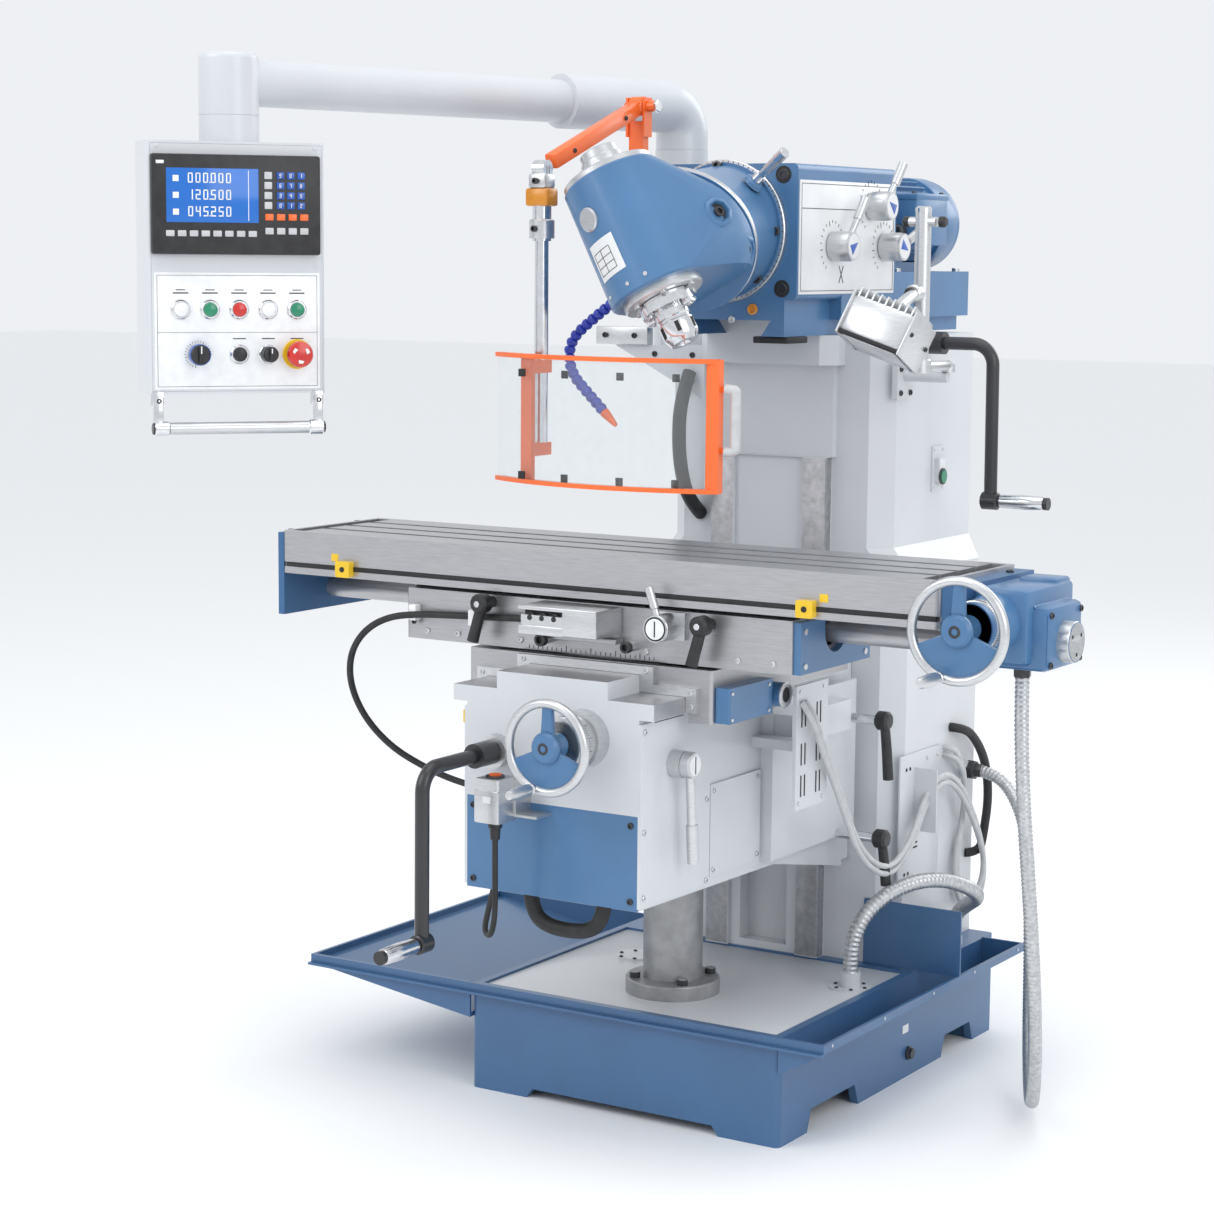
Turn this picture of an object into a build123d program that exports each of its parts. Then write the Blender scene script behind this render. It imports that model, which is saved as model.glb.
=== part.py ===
from build123d import *
import os
from math import cos, pi, radians, sin, tan

os.makedirs("parts", exist_ok=True)

# ---- driving dimensions, millimetres; +Z up, front of the machine is -Y, origin on the floor ----
FLOOR_TRAY_Z = 172.0  # top of the chip channel floor
BASE_HALF_X = 290.0
BASE_FRONT = -399.0
BASE_BACK = 399.0
BASE_WALL = 14.0
FOOT_CUT = 36.0
FOOT_LENGTH = 100.0
ANCHOR_HOLE_R = 9.0
ANCHOR_INSET = 45.0
BASE_CORNER_R = 10.0

TRAY_RIM_Z = 180.0
TRAY_SHEET = 3.0
LEFT_TRAY_X = -621.0
RIGHT_TRAY_X = 371.0
LEFT_TRAY_BACK = 160.0
RIGHT_TRAY_BACK = 80.0
SPLASH_X = 190.0  # splash plate beside the knee
SPLASH_TOP_Z = 290.0
TRAY_LIP = 18.0
TRAY_GAP = 0.4

COLUMN_HALF_X = 242.0
COLUMN_UPPER_HALF_X = 212.0
COLUMN_FRONT = 85.0
COLUMN_BACK = 399.0
COLUMN_UPPER_BACK = 418.0
SHOULDER_Z = 850.0
SHOULDER_TOP_Z = 889.0
COLUMN_TOP_Z = 1245.0
COLUMN_WALL = 22.0
CORNER_CHAMFER = 34.0
WAY_FRONT = 61.0
WAY_HALF_X = 110.0
WAY_INNER_X = 67.0
WAY_TOP_Z = 1040.0
WAY_RECESS = 8.0
HEAD_BLOCK_FRONT = 36.0
HEAD_BLOCK_Z = 1195.0

KNEE_HALF_X = 155.0
KNEE_FRONT = -606.0
KNEE_BOTTOM_Z = 400.0
KNEE_BACK_BOTTOM_Z = 346.0
KNEE_COVER_TOP_Z = 545.0
KNEE_FLANGE_HALF_X = 181.0
KNEE_FLANGE_Z = 691.0
KNEE_WAY_Z = 716.0
KNEE_TOP_Z = 743.0
KNEE_TOP_HALF_X = 100.0
KNEE_WALL = 18.0
KNEE_ROOF = 12.0
SLIDE_GAP = 0.3  # sliding clearance between two castings
COVER_SHEET = 4.0
BRACKET_X = 266.0  # limit switch bracket, outside the saddle cover

LIFT_TUBE_R = 49.0
LIFT_SCREW_R = 18.0
LIFT_AXIS_Y = -237.0
LIFT_TUBE_TOP = 480.0
LIFT_SCREW_BOTTOM = 350.0
LIFT_FLANGE_R = 78.0
LIFT_FLANGE_H = 26.0

SADDLE_HALF_X = 222.0
SADDLE_FRONT = -505.0
SADDLE_BACK = -250.0
SADDLE_TOP_Z = 760.0
SADDLE_APRON_Z = 676.0
SWIVEL_HALF_X = 351.0
SWIVEL_FRONT = -496.0
SWIVEL_BACK = -262.0
SWIVEL_TOP_Z = 843.0
SWIVEL_DISC_R = 118.0
DISC_H = 2.0  # each face of the swivel stands this proud
TABLE_AXIS_Y = -378.0

TABLE_HALF_X = 595.0
TABLE_FRONT = -510.0
TABLE_BACK = -246.0
TABLE_BOTTOM_Z = 851.0
TABLE_TOP_Z = 921.0
TABLE_DOVE_TOP = 92.0
TABLE_DOVE_BOTTOM = 104.0
TABLE_DOVE_DEPTH = 26.0
T_SLOT_W = 14.0
T_SLOT_PITCH = 63.0
T_SLOT_DEPTH = 25.0
T_SLOT_FOOT_W = 24.0
T_SLOT_FOOT_H = 10.0
TROUGH_W = 35.0
TROUGH_DEPTH = 30.0
SCREW_R = 16.0
SCREW_Z = 815.0
CLAMP_LEVER_L = 60.0  # clears the saddle when the table swivels
GEARBOX_L = 135.0
GEARBOX_BOTTOM_Z = 794.0

RAM_HALF_X = 135.0
RAM_FRONT = -98.0
RAM_BODY_BACK = 258.0
RAM_TAIL_BACK = 569.0
RAM_TOP_Z = 1524.0
RAM_STEP_Z = 1305.0
RAM_TAIL_Z = 1350.0
RAM_WALL = 16.0
DOVE_TOP = 70.0
DOVE_BOTTOM = 88.0
DOVE_H = 26.0
SWIVEL_Z = 1415.0
SWIVEL_R = 111.0

HEAD_TILT = 29.0
SPINDLE_Y = -383.0
RING_TILT = 30.0  # second swivel axis, degrees down from the front, in the head's own frame
RING_CENTRE = (119.0, -23.0)  # behind and below the head's origin
RING_R = 125.0
HOUSING_R = 79.0
HOUSING_TOP = 92.0
HOUSING_BOTTOM = -108.0
FLANGE_R = 64.0
FLANGE_H = 13.0
SPINDLE_R = 26.0
RUNNING_GAP = 0.05
NOSE_R = 44.45  # ISO 40 spindle nose
NOSE_H = 18.0
CHUCK_R = 26.0
CHUCK_H = 56.0

ARM_POST = (-266.0, 210.0)
ARM_Z = 1633.0
ARM_R = 36.0
NECK_R = 46.0
PENDANT_AT = (-510.0, -737.0)
PENDANT_TURN = 52.3  # panel normal, degrees from -Y towards +X
PENDANT_W = 272.0
PENDANT_D = 100.0
PENDANT_TOP_Z = 1541.0
PENDANT_BOTTOM_Z = 1160.0
BUTTON_R = 11.0
UPPER_ROW_X = (-88.0, -43.0, 2.0, 47.0, 92.0)
UPPER_ROW_Z = 1288.0
LOWER_ROW_X = (-62.0, 2.0, 47.0, 92.0)
LOWER_ROW_Z = 1220.0
BUTTON_GAP = 0.3


def store(piece, name):
    """Label one finished piece and write it as its own STEP file."""
    piece.part.label = name
    export_step(piece.part, f"parts/{name}.step")


def block(x0, x1, y0, y1, z0, z1, mode=Mode.ADD):
    """Box between two corners, inside the current part."""
    with Locations(((x0 + x1) / 2, (y0 + y1) / 2, (z0 + z1) / 2)):
        return Box(x1 - x0, y1 - y0, z1 - z0, mode=mode)


def rod(start, end, radius, mode=Mode.ADD):
    """Round bar between two points, inside the current part."""
    a, b = Vector(*start), Vector(*end)
    with BuildSketch(Plane(origin=a, z_dir=b - a)) as disc:
        Circle(radius)
    return extrude(disc.sketch, amount=(b - a).length, mode=mode)


def pipe(points, radii, radius):
    """Round bar bent along straight runs with tangent arcs."""
    with BuildLine() as path:
        FilletPolyline(*points, radius=radii)
    start = path.line @ 0
    with BuildSketch(Plane(origin=start, z_dir=path.line % 0)) as disc:
        Circle(radius)
    sweep(disc.sketch, path=path.line)
    return sum(edge.length for edge in path.edges())


def cord_radii(points):
    """Largest arc that each corner's two runs allow."""
    radii = []
    for before, here, after in zip(points, points[1:], points[2:]):
        into = Vector(*here) - Vector(*before)
        out = Vector(*after) - Vector(*here)
        half_turn = radians(into.get_angle(out) / 2)
        radii.append(0.45 * min(into.length, out.length) / tan(half_turn))
    return radii


def make_cord(name, points, radius):
    """Cord as one tube; prints its arc radii and compares volume with section times length."""
    radii = cord_radii(points)
    with BuildPart() as cord:
        length = pipe(points, radii, radius)
    expected = pi * radius**2 * length
    print(name, "length", round(length), "radii", [round(r) for r in radii],
          "volume ratio", round(cord.part.volume / expected, 4))
    store(cord, name)


# ---------------------------------------------------------------- base and column
BASE_TOP_Z = TRAY_RIM_Z - TRAY_SHEET
CONDUIT_GLAND = (350.0, 478.0)
HOSE_GLAND = (262.0, 286.0)


def make_base():
    with BuildPart() as base:
        block(-BASE_HALF_X, BASE_HALF_X, BASE_FRONT, BASE_BACK, 0, BASE_TOP_Z)
        fillet(base.edges().filter_by(Axis.Z), BASE_CORNER_R)
        block(-BASE_HALF_X + BASE_WALL, BASE_HALF_X - BASE_WALL, BASE_FRONT + BASE_WALL,
              BASE_BACK - BASE_WALL, -1, FLOOR_TRAY_Z - 14, mode=Mode.SUBTRACT)
        block(-BASE_HALF_X + BASE_WALL, BASE_HALF_X - BASE_WALL, BASE_FRONT + BASE_WALL,
              COLUMN_FRONT - 20, FLOOR_TRAY_Z, TRAY_RIM_Z, mode=Mode.SUBTRACT)
        with BuildSketch(Plane.XZ.offset(-BASE_BACK - 1)):
            with BuildLine():
                Polyline((-170, 16), (170, 16), (182, -1), (-182, -1), close=True)
            make_face()
        extrude(amount=BASE_BACK - BASE_FRONT + 2, mode=Mode.SUBTRACT)
        for low, high in ((-291, -140), (202, 304)):
            with BuildSketch(Plane.YZ.offset(-BASE_HALF_X - 1)):
                with BuildLine():
                    Polyline((low, FOOT_CUT), (high, FOOT_CUT), (high + 14, -1), (low - 14, -1), close=True)
                make_face()
            extrude(amount=2 * BASE_HALF_X + 2, mode=Mode.SUBTRACT)
        for sx in (-1, 1):
            for y in (BASE_FRONT + ANCHOR_INSET, BASE_BACK - ANCHOR_INSET):
                x = sx * (BASE_HALF_X - ANCHOR_INSET)
                block(x - 40, x + 40, y - 30, y + 30, 0, 22)
        with Locations((0, (BASE_FRONT + BASE_BACK) / 2, 0)):
            with GridLocations(2 * (BASE_HALF_X - ANCHOR_INSET),
                               BASE_BACK - BASE_FRONT - 2 * ANCHOR_INSET, 2, 2):
                Cylinder(ANCHOR_HOLE_R, 60, mode=Mode.SUBTRACT)
    store(base, "base_casting")


def make_trays():
    """Left wing and right chute, bent from sheet, hooked over the base rim."""
    left_floor = FLOOR_TRAY_Z - 26
    front, back = BASE_FRONT - 6, LEFT_TRAY_BACK
    inner = -BASE_HALF_X - TRAY_GAP
    with BuildPart() as trays:
        with BuildSketch(Plane.XZ.offset(-front - 4)):
            with BuildLine():
                Polyline((inner, TRAY_RIM_Z - 60), (LEFT_TRAY_X + 20, TRAY_RIM_Z - TRAY_LIP),
                         (LEFT_TRAY_X, TRAY_RIM_Z - TRAY_LIP), (LEFT_TRAY_X, TRAY_RIM_Z),
                         (LEFT_TRAY_X + 6, TRAY_RIM_Z), (LEFT_TRAY_X + 6, TRAY_RIM_Z - TRAY_LIP + 8),
                         (LEFT_TRAY_X + 24, TRAY_RIM_Z - TRAY_LIP + 8), (inner, TRAY_RIM_Z - 52), close=True)
            make_face()
        extrude(amount=-(back - front - 8))
        for y0, y1 in ((front, front + 4), (back - 4, back)):
            with BuildSketch(Plane.XZ.offset(-y0)):
                with BuildLine():
                    Polyline((inner, TRAY_RIM_Z - 60), (LEFT_TRAY_X + 20, TRAY_RIM_Z - TRAY_LIP),
                             (LEFT_TRAY_X, TRAY_RIM_Z - TRAY_LIP), (LEFT_TRAY_X, TRAY_RIM_Z),
                             (inner, TRAY_RIM_Z), close=True)
                make_face()
            extrude(amount=-(y1 - y0))
        outer = BASE_HALF_X + TRAY_GAP
        with BuildSketch(Plane.XZ.offset(-front - 4)):
            with BuildLine():
                Polyline((outer, TRAY_RIM_Z - 60), (RIGHT_TRAY_X, TRAY_RIM_Z - 14),
                         (RIGHT_TRAY_X, TRAY_RIM_Z), (RIGHT_TRAY_X - 6, TRAY_RIM_Z),
                         (RIGHT_TRAY_X - 6, TRAY_RIM_Z - 8), (outer, TRAY_RIM_Z - 52), close=True)
            make_face()
        extrude(amount=-(350 - front - 8))
        for y0, y1 in ((front, front + 4), (346, 350)):
            with BuildSketch(Plane.XZ.offset(-y0)):
                with BuildLine():
                    Polyline((outer, TRAY_RIM_Z - 60), (RIGHT_TRAY_X, TRAY_RIM_Z - 14),
                             (RIGHT_TRAY_X, TRAY_RIM_Z), (outer, TRAY_RIM_Z), close=True)
                make_face()
            extrude(amount=-(y1 - y0))
        block(LEFT_TRAY_X, RIGHT_TRAY_X, front - 12, front, TRAY_RIM_Z - 17, TRAY_RIM_Z - 13)
        block(LEFT_TRAY_X, RIGHT_TRAY_X, front - 3, front, TRAY_RIM_Z - 17, TRAY_RIM_Z)
        block(SPLASH_X, RIGHT_TRAY_X, RIGHT_TRAY_BACK, RIGHT_TRAY_BACK + 4, TRAY_RIM_Z - 2, SPLASH_TOP_Z)
    store(trays, "chip_trays")


def column_section(z, half_x, back, corner):
    """Column outline at height z, its two front corners cut at 45 degrees."""
    with BuildSketch(Plane.XY.offset(z)) as section:
        with BuildLine():
            Polyline((-half_x, COLUMN_FRONT + corner), (-half_x + corner, COLUMN_FRONT),
                     (half_x - corner, COLUMN_FRONT), (half_x, COLUMN_FRONT + corner),
                     (half_x, back), (-half_x, back), close=True)
        make_face()
    return section.sketch


def make_column():
    with BuildPart() as column:
        foot = column_section(FLOOR_TRAY_Z + 5, COLUMN_HALF_X, COLUMN_BACK, CORNER_CHAMFER)
        shoulder = column_section(SHOULDER_Z, COLUMN_HALF_X, COLUMN_BACK, CORNER_CHAMFER)
        neck = column_section(SHOULDER_TOP_Z, COLUMN_UPPER_HALF_X, COLUMN_UPPER_BACK, CORNER_CHAMFER)
        extrude(foot, amount=SHOULDER_Z - FLOOR_TRAY_Z - 5)
        loft([shoulder.face(), neck.face()])
        extrude(neck, amount=COLUMN_TOP_Z - SHOULDER_TOP_Z)
        block(-WAY_HALF_X, WAY_HALF_X, WAY_FRONT, COLUMN_FRONT, FLOOR_TRAY_Z + 5, WAY_TOP_Z)
        block(-WAY_INNER_X, WAY_INNER_X, WAY_FRONT, WAY_FRONT + WAY_RECESS, FLOOR_TRAY_Z, WAY_TOP_Z - 1,
              mode=Mode.SUBTRACT)
        block(-118, 118, HEAD_BLOCK_FRONT + 34, COLUMN_FRONT, WAY_TOP_Z, COLUMN_TOP_Z)
        block(-132, 132, HEAD_BLOCK_FRONT, COLUMN_FRONT, HEAD_BLOCK_Z, COLUMN_TOP_Z)
        chamfer(column.edges().filter_by(Axis.Z).filter_by(
            lambda e: abs(e.center().Y - HEAD_BLOCK_FRONT) < 1), 24)
        block(-COLUMN_HALF_X + COLUMN_WALL, COLUMN_HALF_X - COLUMN_WALL, COLUMN_FRONT + COLUMN_WALL + 12,
              COLUMN_BACK + 1, FLOOR_TRAY_Z + 30, SHOULDER_Z - 30, mode=Mode.SUBTRACT)
        block(-COLUMN_UPPER_HALF_X + COLUMN_WALL, COLUMN_UPPER_HALF_X - COLUMN_WALL,
              COLUMN_FRONT + COLUMN_WALL + 12, COLUMN_BACK - COLUMN_WALL, SHOULDER_Z - 31,
              COLUMN_TOP_Z - 35, mode=Mode.SUBTRACT)
        block(-46, 46, 40, COLUMN_FRONT + 14, 190, 330, mode=Mode.SUBTRACT)
        with BuildSketch(Plane.XZ.offset(-HEAD_BLOCK_FRONT)):
            with BuildLine():
                Polyline((-DOVE_TOP, COLUMN_TOP_Z), (-DOVE_BOTTOM, COLUMN_TOP_Z + DOVE_H),
                         (DOVE_BOTTOM, COLUMN_TOP_Z + DOVE_H), (DOVE_TOP, COLUMN_TOP_Z), close=True)
            make_face()
        extrude(amount=-(COLUMN_UPPER_BACK - HEAD_BLOCK_FRONT))
    store(column, "column")


def make_column_fittings():
    """Rear door, switch plate, cable bracket, lamp bracket, channel drain cover and pipe flange."""
    side = COLUMN_UPPER_HALF_X
    with BuildPart() as fittings:
        block(-COLUMN_HALF_X + 30, COLUMN_HALF_X - 30, COLUMN_BACK, COLUMN_BACK + 3, 196, 834)
        block(-12, 12, COLUMN_BACK + 3, COLUMN_BACK + 14, 485, 575)
        block(side, side + 3, 258, 304, 974, 1052)
        block(side + 3, side + 11, 268, 294, 990, 1032)
        with Locations(Location((side + 7, 281, 1000), (0, 90, 0))):
            Cylinder(BUTTON_R + BUTTON_GAP, 12, mode=Mode.SUBTRACT)
        block(COLUMN_HALF_X, COLUMN_HALF_X + 2.5, 150, 226, 402, 512)
        block(COLUMN_HALF_X + 2.5, COLUMN_HALF_X + 46, 150, 152.5, 402, 512)
        block(side, side + 10, 100, 160, 1140, 1200)
        rod((side + 9, 130, 1178), (300, 130, 1178), 9)
        with Locations((-165, -80, FLOOR_TRAY_Z + 1.5), (237, -59, FLOOR_TRAY_Z + 1.5)):
            Cylinder(36, 3)
        with Locations((237, -59, FLOOR_TRAY_Z + 15)):
            Cylinder(17, 24)
        rod((COLUMN_HALF_X, *CONDUIT_GLAND), (COLUMN_HALF_X + 16, *CONDUIT_GLAND), 17)
        rod((*HOSE_GLAND, BASE_TOP_Z), (*HOSE_GLAND, BASE_TOP_Z + 14), 17)
    store(fittings, "column_fittings")
    with BuildPart() as button:
        with Locations(Location((side + 10, 281, 1000), (0, 90, 0))):
            Cylinder(BUTTON_R, 10)
    store(button, "start_button")


def make_lift_column():
    with BuildPart() as tube:
        with Locations((0, LIFT_AXIS_Y, (FLOOR_TRAY_Z + LIFT_TUBE_TOP) / 2)):
            Cylinder(LIFT_TUBE_R, LIFT_TUBE_TOP - FLOOR_TRAY_Z)
        with Locations((0, LIFT_AXIS_Y, FLOOR_TRAY_Z + LIFT_FLANGE_H / 2)):
            Cylinder(LIFT_FLANGE_R, LIFT_FLANGE_H)
        fillet(tube.edges().filter_by(GeomType.CIRCLE).filter_by(
            lambda e: abs(e.radius - LIFT_FLANGE_R) < 1 and e.center().Z > FLOOR_TRAY_Z + 5), 3)
        with Locations((0, LIFT_AXIS_Y, LIFT_TUBE_TOP)):
            Hole(LIFT_SCREW_R + 1, depth=LIFT_TUBE_TOP - FLOOR_TRAY_Z - 20)
        with Locations((0, LIFT_AXIS_Y, FLOOR_TRAY_Z + LIFT_FLANGE_H + 5)):
            with PolarLocations(LIFT_FLANGE_R - 14, 4, start_angle=45):
                Cylinder(8, 10)
    store(tube, "lift_column")


# ---------------------------------------------------------------- knee
def make_knee():
    with BuildPart() as knee:
        with BuildSketch(Plane.YZ.offset(-KNEE_HALF_X)):
            with BuildLine():
                Polyline((KNEE_FRONT, KNEE_BOTTOM_Z), (-180, KNEE_BOTTOM_Z - 6),
                         (WAY_FRONT - SLIDE_GAP, KNEE_BACK_BOTTOM_Z),
                         (WAY_FRONT - SLIDE_GAP, KNEE_WAY_Z), (KNEE_FRONT, KNEE_WAY_Z), close=True)
            make_face()
        extrude(amount=2 * KNEE_HALF_X)
        block(-KNEE_FLANGE_HALF_X, KNEE_FLANGE_HALF_X, KNEE_FRONT, 20, KNEE_FLANGE_Z, KNEE_WAY_Z)
        block(-KNEE_TOP_HALF_X, KNEE_TOP_HALF_X, KNEE_FRONT, 20, KNEE_WAY_Z, KNEE_TOP_Z)
        block(KNEE_HALF_X - 1, KNEE_HALF_X + 22, -230, WAY_FRONT - SLIDE_GAP, KNEE_BOTTOM_Z + 10,
              KNEE_FLANGE_Z - 20)
        for side in (-1, 1):
            low, high = sorted((side * (WAY_HALF_X + SLIDE_GAP), side * KNEE_HALF_X))
            block(low, high, WAY_FRONT - 2, COLUMN_FRONT - 2, KNEE_BACK_BOTTOM_Z + 10, KNEE_WAY_Z - 20)
        block(-KNEE_HALF_X + KNEE_WALL, KNEE_HALF_X - KNEE_WALL, KNEE_FRONT + KNEE_WALL,
              WAY_FRONT - KNEE_WALL - 10, KNEE_BACK_BOTTOM_Z - 20, KNEE_FLANGE_Z - KNEE_ROOF,
              mode=Mode.SUBTRACT)
        block(-KNEE_HALF_X - 1, KNEE_HALF_X + 1, KNEE_FRONT - 1, KNEE_FRONT + COVER_SHEET,
              KNEE_BOTTOM_Z - 10, KNEE_COVER_TOP_Z, mode=Mode.SUBTRACT)
    store(knee, "knee")
    with BuildPart() as cover:
        block(-KNEE_HALF_X, KNEE_HALF_X, KNEE_FRONT, KNEE_FRONT + COVER_SHEET, KNEE_BOTTOM_Z,
              KNEE_COVER_TOP_Z)
    store(cover, "knee_front_cover")
    side = KNEE_HALF_X
    with BuildPart() as plates:
        block(side, side + 5, KNEE_FRONT, -400, KNEE_BOTTOM_Z + 4, 684)
        block(side, side + 4, -396, -236, KNEE_BOTTOM_Z + 14, 560)
        block(side + 22, side + 54, -225, -20, 600, 650)
        block(side + 22, BRACKET_X, -262, -225, 600, 616)
        block(side, side + 22, -262, -232, 600, 616)
        block(BRACKET_X, BRACKET_X + 6, -330, -225, 520, 716)
        block(-side - 5, -side, KNEE_FRONT, -400, KNEE_BOTTOM_Z + 4, 684)
    store(plates, "knee_side_plates")
    with BuildPart() as screw:
        screw_top = KNEE_FLANGE_Z - KNEE_ROOF
        with Locations((0, LIFT_AXIS_Y, (LIFT_SCREW_BOTTOM + screw_top) / 2)):
            Cylinder(LIFT_SCREW_R, screw_top - LIFT_SCREW_BOTTOM)
        with Locations((0, LIFT_AXIS_Y, screw_top - 18)):
            Cylinder(40, 36)
    store(screw, "lift_screw")


CROSS_AXIS = (60.0, 655.0)
CROSS_WHEEL_Y = -709.0
CROSS_WHEEL_R = 73.0
CRANK_AXIS = (-98.0, 620.0)


def handwheel(centre_x, wheel_y, centre_z, radius, hub_back):
    """Dished handwheel on a Y axis: rim, three spokes, hub and a turned handle."""
    hub = 20.0
    face = Plane(origin=(centre_x, wheel_y + 5, centre_z), x_dir=(1, 0, 0), z_dir=(0, -1, 0))
    with BuildPart() as wheel:
        with BuildSketch(Plane(origin=(centre_x, wheel_y, centre_z), x_dir=(1, 0, 0), z_dir=(0, 0, 1))):
            with Locations((radius - 6, 0)):
                Circle(7)
        revolve(axis=Axis((centre_x, wheel_y, centre_z), (0, 1, 0)))
        with BuildSketch(face):
            Circle(hub)
            with PolarLocations(radius / 2, 3, start_angle=90):
                Rectangle(radius - 8, 18)
        extrude(amount=9)
        rod((centre_x, hub_back, centre_z), (centre_x, wheel_y - 8, centre_z), hub)
        a = radians(250)
        hx = centre_x + (radius - 6) * cos(a)
        hz = centre_z + (radius - 6) * sin(a)
        rod((hx, wheel_y, hz), (hx, wheel_y - 66, hz), 8.5)
    return wheel


def crank(origin, out, down, offset, reach, grip_len):
    """Bent crank: hub, curved arm and a parallel grip. out and down are unit directions."""
    o, n, d = Vector(*origin), Vector(*out), Vector(*down)
    with BuildPart() as arm:
        rod(o, o + n * 46, 19)
        path_points = [o + n * 40, o + n * offset, o + n * (offset + 2) + d * reach]
        pipe([tuple(q) for q in path_points], 36, 11)
        end = o + n * (offset + 2) + d * reach
        rod(end - n * 13, end + n * 13, 14)
        rod(end + n * 13, end + n * (13 + grip_len), 10.5)
    return arm


def make_knee_controls():
    x, z = CROSS_AXIS
    with BuildPart() as controls:
        rod((x, KNEE_FRONT, z), (x, KNEE_FRONT - 30, z), 44)
        rod((x, KNEE_FRONT - 30, z), (x, KNEE_FRONT - 72, z), 38)
        side = KNEE_HALF_X + 5
        rod((side, -513, 613), (side + 22, -513, 613), 21)
        box_x, box_y = -60.0, -668.0
        block(box_x - 21, box_x + 21, box_y - 23, box_y + 23, 526, 592)
        block(box_x + 21, box_x + 62, KNEE_FRONT - 42, KNEE_FRONT, 530, 534)
        block(box_x + 21, box_x + 24, KNEE_FRONT - 42, KNEE_FRONT, 530, 588)
        block(box_x - 10, box_x + 10, box_y - 10, box_y + 10, 575, 593, mode=Mode.SUBTRACT)
        fillet(controls.edges().filter_by(Axis.Z).filter_by(
            lambda e: abs(e.center().X - box_x) > 20 and e.center().Y < box_y - 20), 4)
        rod((CRANK_AXIS[0], KNEE_FRONT, CRANK_AXIS[1]), (CRANK_AXIS[0], KNEE_FRONT - 18, CRANK_AXIS[1]), 26)
    store(controls, "knee_controls")
    with BuildPart() as jog:
        with Locations((box_x, box_y, 588.5)):
            Cylinder(9.5, 17)
    store(jog, "jog_button")
    wheel = handwheel(x, CROSS_WHEEL_Y, z, CROSS_WHEEL_R, KNEE_FRONT - 72 - SLIDE_GAP)
    store(wheel, "cross_handwheel")
    lift = crank((CRANK_AXIS[0], KNEE_FRONT - 18 - SLIDE_GAP, CRANK_AXIS[1]), (0, -1, 0), (0, 0, -1),
                 178, 262, 92)
    store(lift, "lift_crank")
    with BuildPart() as lever:
        hang = side + 30
        rod((side + 22 + SLIDE_GAP, -513, 613), (hang + 8, -513, 613), 20)
        rod((hang, -513, 600), (hang, -501, 462), 7)
        rod((hang, -506.2, 520), (hang, -501, 460), 9)
    store(lever, "knee_feed_lever")


# ---------------------------------------------------------------- saddle, swivel base and table
def make_saddle():
    with BuildPart() as saddle:
        block(-SADDLE_HALF_X, SADDLE_HALF_X, SADDLE_FRONT, SADDLE_BACK, SADDLE_APRON_Z, SADDLE_TOP_Z - DISC_H)
        fillet(saddle.edges().filter_by(Axis.Z), 6)
        block(-KNEE_FLANGE_HALF_X - SLIDE_GAP, KNEE_FLANGE_HALF_X + SLIDE_GAP, SADDLE_FRONT - 1,
              SADDLE_BACK + 1, SADDLE_APRON_Z - 1, KNEE_WAY_Z + SLIDE_GAP, mode=Mode.SUBTRACT)
        block(-KNEE_TOP_HALF_X - SLIDE_GAP, KNEE_TOP_HALF_X + SLIDE_GAP, SADDLE_FRONT - 1,
              SADDLE_BACK + 1, SADDLE_APRON_Z, KNEE_TOP_Z + SLIDE_GAP, mode=Mode.SUBTRACT)
        with Locations((0, TABLE_AXIS_Y, SADDLE_TOP_Z - DISC_H)):
            Cylinder(SWIVEL_DISC_R, 2 * DISC_H)
    store(saddle, "saddle")
    with BuildPart() as cover:
        block(SADDLE_HALF_X, SADDLE_HALF_X + 26, SADDLE_FRONT + 8, -362, SADDLE_APRON_Z + 2, 732)
        fillet(cover.edges().filter_by(Axis.Z), 3)
        block(SADDLE_HALF_X, SADDLE_HALF_X + 12, -363, -320, 690, 718)
        rod((SADDLE_HALF_X + 4, -340, 704), (SADDLE_HALF_X + 34, -340, 704), 19)
    store(cover, "saddle_side_cover")
    with BuildPart() as wipers:
        y0, y1 = SADDLE_FRONT - 10, SADDLE_FRONT
        block(-124, 124, y0, y1, KNEE_TOP_Z + 0.6, KNEE_TOP_Z + 14)
        for side in (-1, 1):
            low, high = sorted((side * (KNEE_TOP_HALF_X + 0.6), side * 124))
            block(low, high, y0, y1, KNEE_WAY_Z + 0.6, KNEE_TOP_Z + 14)
            low, high = sorted((side * 124, side * 200))
            block(low, high, y0, y1, KNEE_WAY_Z + 0.6, KNEE_WAY_Z + 14)
            low, high = sorted((side * (KNEE_FLANGE_HALF_X + 0.6), side * 200))
            block(low, high, y0, y1, KNEE_FLANGE_Z + 2, KNEE_WAY_Z + 14)
    store(wipers, "way_wipers")


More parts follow.
